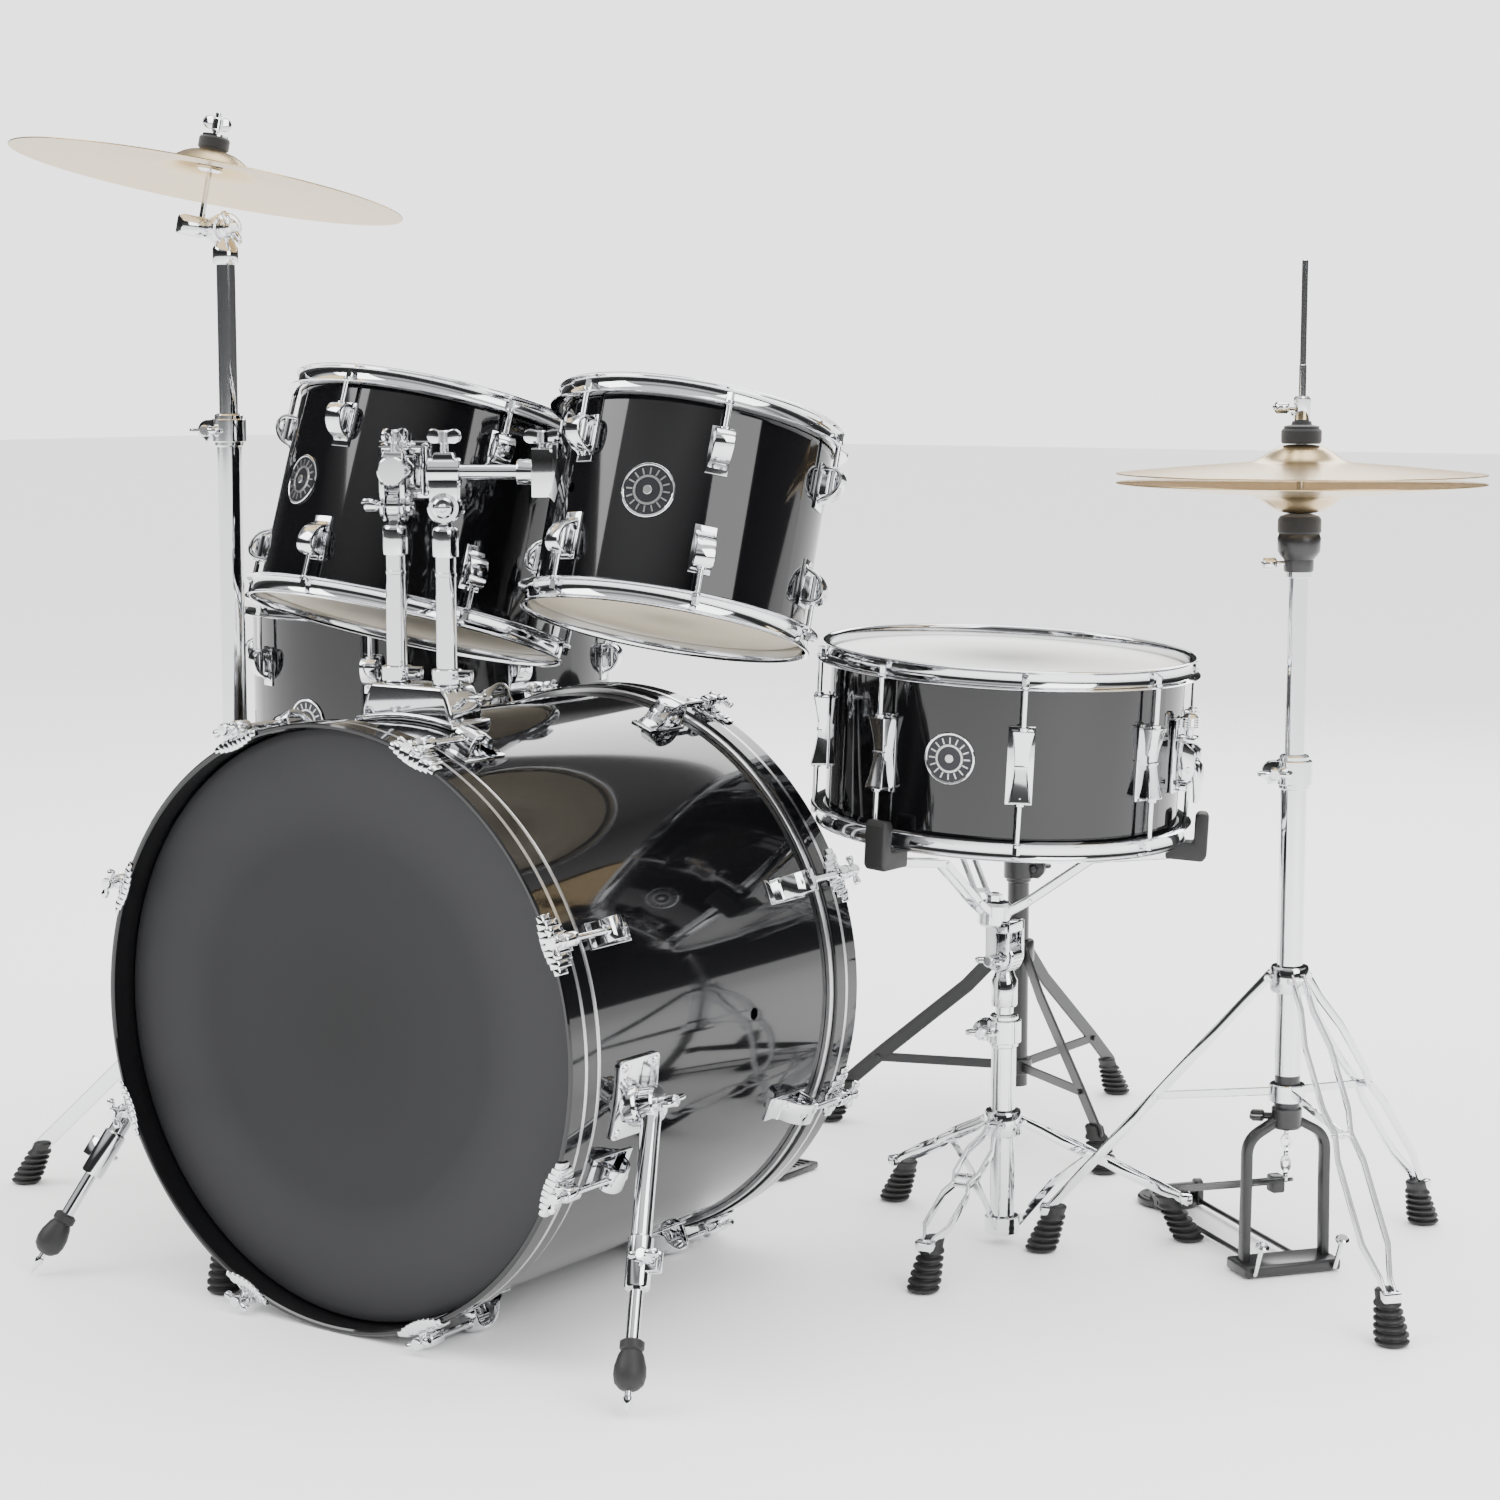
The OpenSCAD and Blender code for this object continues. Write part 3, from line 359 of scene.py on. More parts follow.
def turned(profile, points=64):
    """Ring of points extruded along (radius, height) steps, as on a lathe."""
    select_only()
    radius, height = max(profile[0][0], TINY), profile[0][1]
    bpy.ops.mesh.primitive_circle_add(vertices=points, radius=radius * MM, location=(0, 0, height * MM))
    obj = bpy.context.view_layer.objects.active
    bpy.ops.object.transform_apply(location=True, rotation=True, scale=True)
    start_edit(obj)
    for r, z in profile[1:]:
        r = max(r, TINY)
        bpy.ops.mesh.extrude_region_move(TRANSFORM_OT_translate={"value": (0, 0, (z - height) * MM)})
        bpy.ops.transform.resize(value=(r / radius, r / radius, 1), center_override=(0, 0, 0))
        radius, height = r, z
    close_edit()
    return obj


def ring(profile, points=64):
    """Closed ring on the lathe, from the (radius, height) corners of its section."""
    return turned(profile + [profile[0]], points)


def cut_plate(outline, thickness, bevel=0.0, segments=2):
    """Plate with an outline of (x, y) points, extruded up from z = 0, edges rounded."""
    select_only()
    bpy.ops.mesh.primitive_plane_add(size=MM)
    obj = bpy.context.view_layer.objects.active
    start_edit(obj)
    bpy.ops.mesh.merge(type="CENTER")
    spots = [Vector((x, y, 0)) * MM for x, y in outline]
    bpy.ops.transform.translate(value=spots[0])
    for a, b in zip(spots, spots[1:]):
        bpy.ops.mesh.extrude_vertices_move(TRANSFORM_OT_translate={"value": b - a})
    bpy.ops.mesh.select_all(action="SELECT")
    bpy.ops.mesh.edge_face_add()
    bpy.ops.mesh.extrude_region_move(TRANSFORM_OT_translate={"value": (0, 0, thickness * MM)})
    close_edit()
    if bevel:
        rounded(obj, bevel, segments)
    return obj


def rounded(obj, width, segments=2, angle=35):
    select_only(obj)
    edge = obj.modifiers.new("rounded", "BEVEL")
    edge.width = width * MM
    edge.segments = segments
    edge.limit_method = "ANGLE"
    edge.angle_limit = math.radians(angle)
    bpy.ops.object.modifier_apply(modifier=edge.name)
    return obj


def block(size, centre=(0, 0, 0), bevel=1.0, segments=2):
    select_only()
    bpy.ops.mesh.primitive_cube_add(size=1, location=Vector(centre) * MM)
    obj = bpy.context.view_layer.objects.active
    obj.scale = Vector(size) * MM
    bpy.ops.object.transform_apply(location=True, rotation=True, scale=True)
    return rounded(obj, bevel, segments) if bevel else obj


def pin(start, end, radius, points=20, bevel=0.6):
    """Round bar from start to end with broken edges."""
    start, end = Vector(start), Vector(end)
    length = (end - start).length
    bevel = min(bevel, radius * 0.4, length * 0.3)
    bar = turned([(0, 0), (radius - bevel, 0), (radius, bevel), (radius, length - bevel),
                  (radius - bevel, length), (0, length)], points)
    return put(bar, aimed(start, end))


def bent_rod(points, radius, smoothness=3):
    """Round rod along a chain of points."""
    select_only()
    bpy.ops.mesh.primitive_plane_add(size=MM)
    obj = bpy.context.view_layer.objects.active
    start_edit(obj)
    bpy.ops.mesh.merge(type="CENTER")
    spots = [Vector(p) * MM for p in points]
    bpy.ops.transform.translate(value=spots[0])
    for a, b in zip(spots, spots[1:]):
        bpy.ops.mesh.extrude_vertices_move(TRANSFORM_OT_translate={"value": b - a})
    bpy.ops.object.mode_set(mode="OBJECT")
    bpy.ops.object.convert(target="CURVE")
    obj = bpy.context.view_layer.objects.active
    obj.data.bevel_depth = radius * MM
    obj.data.bevel_resolution = smoothness
    obj.data.use_fill_caps = True
    bpy.ops.object.convert(target="MESH")
    obj = bpy.context.view_layer.objects.active
    start_edit(obj)
    close_edit()
    return obj


def arc(centre, radius, start, end, steps):
    """Points along an arc, its angles in degrees."""
    return [(centre[0] + radius * math.cos(math.radians(start + (end - start) * i / steps)),
             centre[1] + radius * math.sin(math.radians(start + (end - start) * i / steps)))
            for i in range(steps + 1)]


def strap_outline(points, width):
    """Outline of a strip of even width along a chain of points, with round ends."""
    pts = [Vector(p) for p in points]
    ways = [(b - a).normalized() for a, b in zip(pts, pts[1:])]
    half = width / 2
    left, right = [], []
    for i, p in enumerate(pts):
        before, after = ways[max(i - 1, 0)], ways[min(i, len(ways) - 1)]
        normal = Vector((-(before + after).y, (before + after).x)).normalized()
        stretch = half / max(0.5, normal.dot(Vector((-after.y, after.x))))
        left.append(p + normal * stretch)
        right.append(p - normal * stretch)
    def cap(centre, way, sign):
        base = math.degrees(math.atan2(way.y, way.x))
        return [Vector(q) for q in arc(centre, half, base + 60 * sign, base - 60 * sign, 4)]
    return ([tuple(p) for p in left] + [tuple(p) for p in cap(pts[-1], ways[-1], 1)]
            + [tuple(p) for p in reversed(right)] + [tuple(p) for p in cap(pts[0], -ways[0], 1)])


UPRIGHT = Matrix.Rotation(math.radians(90), 4, "X")      # a plate's (x, y) becomes (x, z)


def side_strap(points, width, thickness, offset, bevel=0.8):
    """Flat bar in the XZ plane along (x, z) points, centred on y = offset."""
    bar = cut_plate(strap_outline(points, width), thickness, bevel, 1)
    return put(bar, shift(0, offset + thickness / 2, 0) @ UPRIGHT)


def side_plate(outline, width, bevel=0.8, offset=0, segments=2):
    bar = cut_plate(outline, width, bevel, segments)
    return put(bar, shift(0, offset + width / 2, 0) @ UPRIGHT)


def add_piece(obj, name, material, body, *stands_for, slot=None, angle=35):
    """Name and smooth a finished piece, give it its finish, and hang it on its body."""
    select_only(obj)
    obj.name = name
    obj.data.name = name
    obj.data.materials.clear()
    obj.data.materials.append(material)
    bpy.ops.object.shade_smooth_by_angle(angle=math.radians(angle))
    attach(obj, body)
    if stands_for:
        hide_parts(*stands_for)
    return obj


def chromed(obj, name, body, *stands_for, angle=35):
    return add_piece(obj, name, chrome(), body, *stands_for, slot="chrome", angle=angle)


def blackened(obj, name, body, *stands_for):
    return add_piece(obj, name, black_steel(), body, *stands_for, slot="black_steel")


def rubbered(obj, name, body, *stands_for):
    return add_piece(obj, name, black_rubber(), body, *stands_for, slot="rubber")


# ---------- small hardware used in many places ----------

def wing_bolt(stem=10, span=19, stem_radius=4):
    """Cast wing bolt along +X: stem, hub and two round wings."""
    screw = pin((0, 0, 0), (stem + 2, 0, 0), stem_radius, 16)
    hub = pin((stem, 0, 0), (stem + 13, 0, 0), 6, 20, 1.5)
    wing = [(-5, 0), (5, 0)] + arc((1.5, span - 7), 7, -10, 190, 9)
    wings = []
    for side in (0, 180):
        plate = cut_plate(wing, 4.4, 1.2, 2)
        wings.append(put(plate, shift(stem + 6, 0, 0) @ turn("X", side) @ shift(0, 0, -2.2)))
    return joined(screw, hub, *wings)


def t_bolt(stem=12, bar=30, bar_radius=4):
    """Key bolt along +X with a cross bar."""
    screw = pin((0, 0, 0), (stem + 2, 0, 0), 3.4, 16)
    hub = pin((stem - 1, 0, 0), (stem + 8, 0, 0), 5.5, 20, 1.2)
    cross = turned([(0, -bar / 2), (bar_radius * 0.8, -bar / 2 + 0.6), (bar_radius, -bar / 2 + 3),
                    (bar_radius * 0.72, -bar / 2 + 8), (bar_radius * 0.72, bar / 2 - 8),
                    (bar_radius, bar / 2 - 3), (bar_radius * 0.8, bar / 2 - 0.6), (0, bar / 2)], 20)
    put(cross, shift(stem + 7, 0, 0) @ turn("X", 90))
    return joined(screw, hub, cross)


def screw_head(radius=4, height=2.4):
    """Domed screw head along +Z."""
    return turned([(0, 0), (radius, 0), (radius, height * 0.4), (radius * 0.75, height * 0.85),
                   (radius * 0.3, height), (0, height)], 20)


def clamp_collar(bore, wall, height, ear=16, bolt_span=17):
    """Split tube clamp about Z, ears along +X, with its wing bolt across the ears."""
    outer = bore + wall
    eye = outer + ear - height / 2
    body = ring([(bore, 0), (outer - 1, 0), (outer, 1), (outer, height - 1), (outer - 1, height),
                 (bore, height)], 40)
    ears = []
    for side in BOTH:
        nose = arc((eye, height / 2), height / 2 - 1, -80, 80, 8)
        plate = [(bore + 1, 1), (outer + ear - 7, 1), *nose, (bore + 1, height - 1)]
        ears.append(side_plate(plate, 5, 1, side * 4.2))
    bolt = put(wing_bolt(6, bolt_span), shift(eye - 2, 6, height / 2) @ turn("Z", 90))
    head = put(screw_head(5, 4), shift(eye - 2, -6.4, height / 2) @ turn("X", 90))
    return joined(body, *ears, bolt, head)


def arched_lug(radius, out=22, tall=38, width=18, screw_out=10.8, screw_radius=2.7):
    """Arched lug along +X, top at z = 0: foot plate, curved strap, socket and rib."""
    t = 3.4
    bow = arc((radius + out - 11, -11), 11, 90, 0, 6)
    back = arc((radius, -11), out, 0, -78, 9)
    inner_back = arc((radius, -11), out - t, -76, 0, 9)
    inner_bow = arc((radius + out - 11, -11), 11 - t, 0, 90, 6)
    wall = radius + 0.5
    strap = side_plate([(wall, 0), *bow, *back, (wall, -tall + 1), (wall, -tall + 6), *inner_back[1:],
                        *inner_bow, (wall, -t)], width, 0.9)
    foot_outline = [(-3, -width / 2 - 1.5), (tall + 3, -width / 2 - 1.5), (tall + 3, width / 2 + 1.5),
                    (-3, width / 2 + 1.5)]
    foot = put(cut_plate(foot_outline, 2.4, 0.8), shift(radius - 0.6, 0, 0) @ turn("Y", 90))
    socket = pin((radius + screw_out, 0, -26), (radius + screw_out, 0, 0.8), screw_radius + 2.6, 20)
    rib = side_plate([(radius + 1, -27), (radius + screw_out - 1, -24), (radius + screw_out - 1, -2),
                      (radius + 1, -2)], 4, 0.5)
    return joined(strap, foot, socket, rib)


def waisted_lug(radius):
    """Bow-tie lug of the snare drum: wide at both ends, thin in the middle."""
    half = 35
    heights = [-half + 2 * half * i / 24 for i in range(25)]
    edge = [(z, 6.2 + 4.6 * (abs(z) / half) ** 1.6) for z in heights]
    outline = edge + [(z, -w) for z, w in reversed(edge)]
    front = cut_plate(outline, 17.5, 1.6, 3)
    put(front, shift(radius - 0.5, 0, 0) @ turn("Y", 90))
    base = (radius + 8) * MM
    for v in front.data.vertices:
        height = v.co.z / MM / half
        if v.co.x > base:
            v.co.x = base + (v.co.x - base) * (0.30 + 0.70 * abs(height) ** 1.5)
    foot = put(cut_plate([(-half - 3, -13), (half + 3, -13), (half + 3, 13), (-half - 3, 13)], 2, 0.7),
               shift(radius - 0.6, 0, 0) @ turn("Y", 90))
    band = block((5, 13.4, 3), (radius + 9.5, 0, 0), 0.8)
    sockets = [pin((radius + 10.8, 0, s * (half - 6)), (radius + 10.8, 0, s * (half + 3)), 5, 20)
               for s in BOTH]
    return joined(front, foot, band, *sockets)


def wrap_round(part, radius):
    """Bend a flat plate, lying in XY with X along the rim, on to a shell of that radius."""
    for v in part.data.vertices:
        x = v.co.x / MM
        v.co.z -= (radius - math.sqrt(radius * radius - x * x)) * MM


def on_shell(radius, azimuth, height):
    """Place of a plate that wrap_round has bent: its middle on the shell, its face outwards."""
    return turn("Z", azimuth) @ shift(radius, 0, height) @ turn("Y", 90) @ turn("Z", 90)


def badge(drum, azimuth, height, name):
    """Round plate with a chrome edge, a dark band, ticks round an open ring and the vent's eyelet."""
    r = size("badge_radius")
    plate = turned([(0, 0), (r, 0), (r, 1.0), (r - 0.8, 1.4), (r - 2, 1.4), (r - 2.3, 1.1), (0, 1.1)], 48)
    centre = ring([(r * 0.46, 0.9), (r * 0.56, 0.9), (r * 0.55, 1.7), (r * 0.47, 1.7)], 40)
    ticks = repeated(block((1.4, r * 0.24, 0.5), (0, r * 0.70, 1.3), 0), around(16))
    eyelet = pin((0, 0, 1.0), (0, 0, 2.6), 4.2, 20)
    edge = ring([(r - 2.2, 0.8), (r, 0.8), (r, 1.4), (r - 0.6, 1.9), (r - 1.6, 1.9), (r - 2.2, 1.5)], 48)
    spot = drum.place @ on_shell(drum.radius + 0.15, azimuth, height)
    for part, kind, material in ((plate, "plate", badge_ink()), (joined(centre, ticks, eyelet), "face",
                                 satin_silver()), (edge, "ring", chrome())):
        wrap_round(part, drum.radius)
        add_piece(put(part, spot), f"{name}_badge_{kind}", material, drum.body, slot="chrome")


# ---------- cymbals ----------

def bow_height(x, radius, rise, bell):
    """Height of a cymbal's underside at distance x from its middle."""
    return rise * (1 - (x / radius) ** 1.35) + bell * math.exp(-(x / (radius * 0.2)) ** 4)


def cymbal(radius, rise, bell, hole=6):
    """Thin bowed disc with a bell, rim at z = 0."""
    steps = 34
    t = size("cymbal_thickness")
    xs = [hole + (radius - hole) * (i / steps) for i in range(steps + 1)]
    top = [(x, bow_height(x, radius, rise, bell) + t) for x in xs]
    low = [(x, bow_height(x, radius, rise, bell)) for x in reversed(xs)]
    return ring(top + [(radius + 0.3, t * 0.5)] + low, 128)


# ---------- bass drum ----------

SHELL_END = 203.2       # half the depth of the bass drum's shell
FRONT = 230.4           # outer face of its hoop, from the shell's middle
HOOP_OUTER, HOOP_INNER, HOOP_WIDTH = 287.0, 281.4, 37.8
ROD_CIRCLE = 297.5      # radius that the key rods stand on
FIRST_POINT = 22.5      # azimuth of the first of eight tension points


def end_places(count, start, height=0):
    """Places around both ends of a drum, +X outwards and +Z to that end."""
    spots = []
    for i in range(count):
        out = turn("Z", start + i * 360 / count)
        spots += [out @ shift(0, 0, height), out @ turn("X", 180) @ shift(0, 0, height)]
    return spots


def on_drum(place, spots):
    return [place @ spot for spot in spots]


def bass_head(place, name, material, slot):
    """Film over one end of the bass drum, and the metal ring that holds it."""
    e, r = SHELL_END, size("bass_radius")
    film = ring([(0, e + 0.25), (r + 0.3, e + 0.25), (r + 0.4, e - 10.8), (r + 1.2, e - 10.8),
                 (r + 1.3, e - 1.2), (r + 0.5, e + 0.3), (r - 0.8, e + 1.0), (r - 8, e + 1.35),
                 (r - 20, e + 1.1), (0, e + 1.1)], 128)
    add_piece(put(film, place), name, material, "kit", "bass_heads", slot=slot)
    flesh_ring = ring([(r + 0.5, e - 18.4), (r + 4.4, e - 18.4), (r + 5.1, e - 17.4), (r + 5.1, e - 12.4),
                       (r + 4.4, e - 11.2), (r + 1.4, e - 11.2), (r + 0.5, e - 12)], 128)
    add_piece(put(flesh_ring, place), name + "_flesh_ring", satin_silver(), "kit", slot="chrome")


class DRUMKIT_OT_bass_heads(bpy.types.Operator):
    """Front and batter heads of the bass drum with their metal rings"""
    bl_idname = "drumkit.bass_heads"
    bl_label = "Bass drum heads"

    def execute(self, context):
        bass_head(BASS, "bass_front_head", charcoal_film(), "dark_head")
        bass_head(BASS @ turn("X", 180), "bass_batter_head", coated_film(), "white_head")
        return {"FINISHED"}


class DRUMKIT_OT_bass_hoops(bpy.types.Operator):
    """Lacquered wooden hoops with rounded edges and a thin silver line round each, a painted highlight
    along the hoop's edge
    """
    bl_idname = "drumkit.bass_hoops"
    bl_label = "Bass drum hoops"

    def execute(self, context):
        outer, inner, back = HOOP_OUTER, HOOP_INNER, FRONT - HOOP_WIDTH
        hoop = ring([(inner, back + 1), (inner + 1, back), (outer - 1, back), (outer, back + 1),
                     (outer, FRONT - 1.5), (outer - 1.5, FRONT), (inner + 1.5, FRONT),
                     (inner, FRONT - 1.5)], 160)
        # Thin satin-silver ring on the hoop's outer face: a painted highlight standing in for the shine
        # along the hoop's edge, not an inlay
        line = ring([(outer - 0.5, FRONT - 22.5), (outer + 0.12, FRONT - 22.5),
                     (outer + 0.12, FRONT - 18.5), (outer - 0.5, FRONT - 18.5)], 160)
        ends = [BASS, BASS @ turn("X", 180)]
        add_piece(repeated(hoop, ends), "bass_wood_hoops", lacquer(), "kit", "bass_hoops",
                  slot="black_lacquer")
        # These silver rings are painted highlights along the hoops, not inlaid lines
        add_piece(repeated(line, ends), "bass_hoop_painted_highlight_lines", satin_silver(), "kit", slot="chrome")
        return {"FINISHED"}


class DRUMKIT_OT_bass_tension(bpy.types.Operator):
    """Claws, key rods and lugs of the bass drum, and the floor tom's lugs"""
    bl_idname = "drumkit.bass_tension"
    bl_label = "Bass drum claws, rods and lugs"

    def execute(self, context):
        f = FRONT
        slats = []
        for k in range(-4, 5):
            back = f - 25 + 0.9 * k * k
            lip = 276.5 + 0.35 * k * k
            rise = 1.1 if k % 2 else 0
            slat = side_plate([(287.4, back), (289.2 + rise, back + 1), (289.8 + rise, f - 2),
                               (288.4 + rise, f + 1.6), (286, f + 2.9), (lip + 1, f + 2.9), (lip, f + 0.5),
                               (287.4, f + 0.5)], 6.6, 0.7)
            slats.append(put(slat, turn("Z", k * 1.22)))
        saddle = side_plate([(289, f - 24), (300, f - 22), (302.5, f - 18), (302.5, f - 5), (300, f - 2),
                             (289, f + 1)], 11, 1.8)
        boss = put(ring([(3.5, -20), (6.4, -20), (7.2, -18.5), (7.2, -4), (6.2, -2.5), (3.5, -2.5)], 24),
                   shift(ROD_CIRCLE, 0, f))
        places = on_drum(BASS, end_places(8, FIRST_POINT))
        chromed(repeated(joined(*slats, saddle, boss), places), "bass_hoop_claws", "kit", "bass_claws")
        shank = [(0, -92), (2.4, -92), (3, -90)]
        for i in range(14):
            shank += [(3.1, -88 + i * 2), (2.7, -87 + i * 2)]
        shank += [(3.0, -58), (3.0, -4), (5.2, -4), (6.2, -2.5), (6.2, 0), (4.6, 2), (4.6, 5), (6, 7),
                  (6, 12), (5, 14), (0, 14.4)]
        rod = turned(shank, 18)
        bar = turned([(0, -15), (2.8, -14.7), (3.8, -13.4), (4, -11.5), (3.4, -9), (2.7, -7), (2.7, 7),
                      (3.4, 9), (4, 11.5), (3.8, 13.4), (2.8, 14.7), (0, 15)], 16)
        put(bar, shift(0, 0, 9.5) @ turn("X", 90))
        rod = put(joined(rod, bar), shift(ROD_CIRCLE, 0, f))
        chromed(repeated(rod, places), "bass_tension_keys", "kit", "bass_key_rods")
        big = arched_lug(size("bass_radius"), 27, 52, 22, ROD_CIRCLE - size("bass_radius"), 3.1)
        small = arched_lug(FLOOR_TOM.radius)
        lugs = joined(repeated(big, on_drum(BASS, end_places(8, FIRST_POINT, SHELL_END - 36))),
                      repeated(small, on_drum(FLOOR_TOM.place, end_places(8, FIRST_POINT,
                                              FLOOR_TOM.depth / 2 - 44))))
        chromed(lugs, "bass_and_floor_lugs", "kit", "drum_lugs")
        return {"FINISHED"}


# ---------- spurs ----------

SPUR_HEIGHT = 125       # of the brackets, from the shell's middle towards the front
SPUR_SIDES = (("right", -9.05), ("left", 189.05))


def spur_place(side):
    """Frame at a spur's hinge: +X along the leg, +Y away from the drum."""
    fold, reach = joint(f"spur_{side}_fold"), joint(f"spur_{side}_reach")
    along = Vector(reach["axis"]).normalized()
    out = Vector(fold["axis"]).normalized() * (1 if side == "right" else -1)
    place = Matrix((along, out, along.cross(out))).transposed().to_4x4()
    place.translation = Vector(fold["pos_m"])
    return place


class DRUMKIT_OT_spurs(bpy.types.Operator):
    """Folding front legs of the bass drum: plate, toothed joint, tube, collar, rod, rubber and spike"""
    bl_idname = "drumkit.spurs"
    bl_label = "Bass drum spurs"

    def execute(self, context):
        for side, azimuth in SPUR_SIDES:
            place = spur_place(side)
            length = place.translation.z / -place.col[0].z / MM
            half = length * 0.60
            corners = [arc(spot, 6, 90 * k, 90 * k + 90, 4)
                       for k, spot in enumerate(((32, 24), (-32, 24), (-32, -24), (32, -24)))]
            plate = cut_plate(sum(corners, []), 3.4, 1.0)
            start_edit(plate)
            bpy.ops.mesh.bisect(plane_co=(0, 0, 0), plane_no=(1, 0, 0))
            close_edit(False)
            wrap_round(plate, size("bass_radius"))
            spots = [shift(x, y, 1.2) for y in (23, -23) for x in (31, -31)]
            screws = repeated(screw_head(4.2, 2.6), spots)
            spot = BASS @ on_shell(size("bass_radius") + 0.2, azimuth, SPUR_HEIGHT)
            put(plate, spot)
            put(screws, spot)
            boss = turned([(0, -22), (19, -22), (19, -12), (17, -9.4), (14, -8.4), (0, -8.4)], 40)
            teeth = repeated(block((3, 1.6, 1.4), (14.5, 0, -8.6), 0.3), around(24))
            bolt = pin((0, 0, -12), (0, 0, 12), 3.9, 20)
            nut = put(wing_bolt(5, 18, 5), shift(0, 0, 8.5) @ turn("Y", -90) @ turn("X", 35))
            hinge = put(joined(boss, teeth, bolt, nut), place @ turn("X", -90))
            chromed(joined(plate, screws, hinge), f"spur_{side}_bracket", "kit", "spur_brackets")

            disc = put(ring([(4.1, -7.6), (14, -7.6), (16, -6), (16, 6), (14, 7.6), (8, 7.8), (4.1, 7.8)],
                            40), turn("X", -90))
            ribs = put(repeated(block((1.6, 1.6, 11), (16, 0, 0), 0.4), around(20)), turn("X", -90))
            neck = put(turned([(0, 8), (8, 8), (8.6, 12), (9.2, 16), (9.2, half - 60), (9.2, half - 48),
                               (11.6, half - 46), (11.6, half - 2), (11, half), (6.4, half),
                               (6.4, half - 6), (0, half - 6)], 32), turn("Y", 90))
            ears = [block((20, 12, 4), (half - 24, 15, z), 0.8) for z in (-4.2, 4.2)]
            screw = put(wing_bolt(7, 15, 3.2), shift(half - 24, 16, 5) @ turn("Y", -90))
            tube = put(joined(disc, ribs, neck, *ears, screw), place)
            chromed(tube, f"spur_{side}_tube", f"spur_{side}", f"spur_{side}")

            inner = put(turned([(0, length * 0.32), (6.2, length * 0.32), (6.2, length - 62),
                                (0, length - 62)], 24), turn("Y", 90))
            spike = put(turned([(0, length - 40), (3.2, length - 40), (3.2, length - 20),
                                (4.4, length - 19), (4.4, length - 15), (3, length - 13),
                                (0, length - 0.6)], 20), turn("Y", 90))
            chromed(put(joined(inner, spike), place), f"spur_{side}_inner_rod", f"spur_{side}_rod",
                    f"spur_{side}_rod")
            bulb = turned([(0, length - 70), (8, length - 70), (11, length - 68), (11, length - 62),
                           (9.4, length - 60), (11.5, length - 56), (14.2, length - 46),
                           (14.6, length - 38), (13, length - 31), (8.5, length - 26.5),
                           (5.5, length - 25), (0, length - 25)], 32)
            rubbered(put(bulb, place @ turn("Y", 90)), f"spur_{side}_rubber", f"spur_{side}_rod")
        return {"FINISHED"}


# ---------- double tom holder ----------

POST = {"left": -31, "right": 31}
POST_Y = -91
HINGE_Z = 767
ARM_Z = 800
TOM_HOLDERS = (("left", 119.7, 50, "tom12"), ("right", 34, 102, "tom10"))


class DRUMKIT_OT_tom_mount(bpy.types.Operator):
    """Chrome block on top of the bass drum with its curved base"""
    bl_idname = "drumkit.tom_mount"
    bl_label = "Tom mount block"

    def execute(self, context):
        body = side_plate([(-55, 556), (-55, 574), (-50, 590), (-44, 599.6), (44, 599.6), (50, 590),
                           (55, 574), (55, 556)], 48, 4, 0, 4)
        put(body, KIT @ shift(0, POST_Y, 0))
        base = cut_plate([(-61, -29), (61, -29), (61, 29), (-61, 29)], 7, 2.4, 3)
        start_edit(base)
        for x in (-40, -20, 0, 20, 40):
            bpy.ops.mesh.select_all(action="SELECT")
            bpy.ops.mesh.bisect(plane_co=(x * MM, 0, 0), plane_no=(1, 0, 0))
        close_edit(False)
        wrap_round(base, size("bass_radius"))
        put(base, KIT @ shift(0, POST_Y, BASS_AXIS_Z + size("bass_radius") + 0.2))
        lips = [put(ring([(9.8, 598.5), (14, 598.5), (14, 599.8), (13, 600.2), (9.8, 600.2)], 40),
                    KIT @ shift(x, POST_Y, 0)) for x in POST.values()]
        key = put(t_bolt(10, 20, 3), KIT @ shift(54, POST_Y + 6, 588))
        chromed(joined(body, base, *lips, key), "tom_mount_block", "kit", "tom_mount_base")
        return {"FINISHED"}


def tom_post(side, azimuth):
    """Post with its memory lock, neck and toothed knuckle."""
    stand = turned([(0, 505), (8, 505), (9.7, 507), (9.7, 720), (12.2, 721), (12.6, 722.5), (12.6, 744),
                    (12, 747), (10, 749), (0, 749.5)], 40)
    groove = ring([(9.6, 702), (10.5, 702.5), (10.5, 705.5), (9.6, 706)], 40)
    lock = ring([(9.8, 600.6), (13.6, 600.6), (14.4, 601.6), (14.4, 614), (13.6, 615), (9.8, 615)], 40)
    ears = [put(block((13, 5, 12), (18, y, 607.8), 1.2), turn("Z", 25)) for y in (-4, 4)]
    key = put(pin((0, -12, 0), (0, 12, 0), 3, 16), turn("Z", 25) @ shift(19, 0, 607.8))
    head = put(block((6.4, 6.4, 6), (19, -14, 607.8), 0.6), turn("Z", 25))
    neck = turned([(0, 745), (7, 745), (6.6, 756), (0, 757)], 28)
    knuckle = put(ring([(4.2, -6.3), (12.6, -6.3), (14, -5), (14, 5), (12.6, 6.3), (4.2, 6.3)], 40),
                  turn("Z", azimuth) @ shift(0, 0, HINGE_Z) @ turn("X", 90))
    ratchet = put(repeated(block((1.4, 1.4, 9), (14, 0, 0), 0.3), around(24)),
                  turn("Z", azimuth) @ shift(0, 0, HINGE_Z) @ turn("X", 90))
    post = joined(stand, groove, lock, *ears, key, head, neck, knuckle, ratchet)
    put(post, KIT @ shift(POST[side], POST_Y, 0))
    chromed(post, f"tom_{side}_post", f"tom_post_{side}", f"tom_post_{side}")


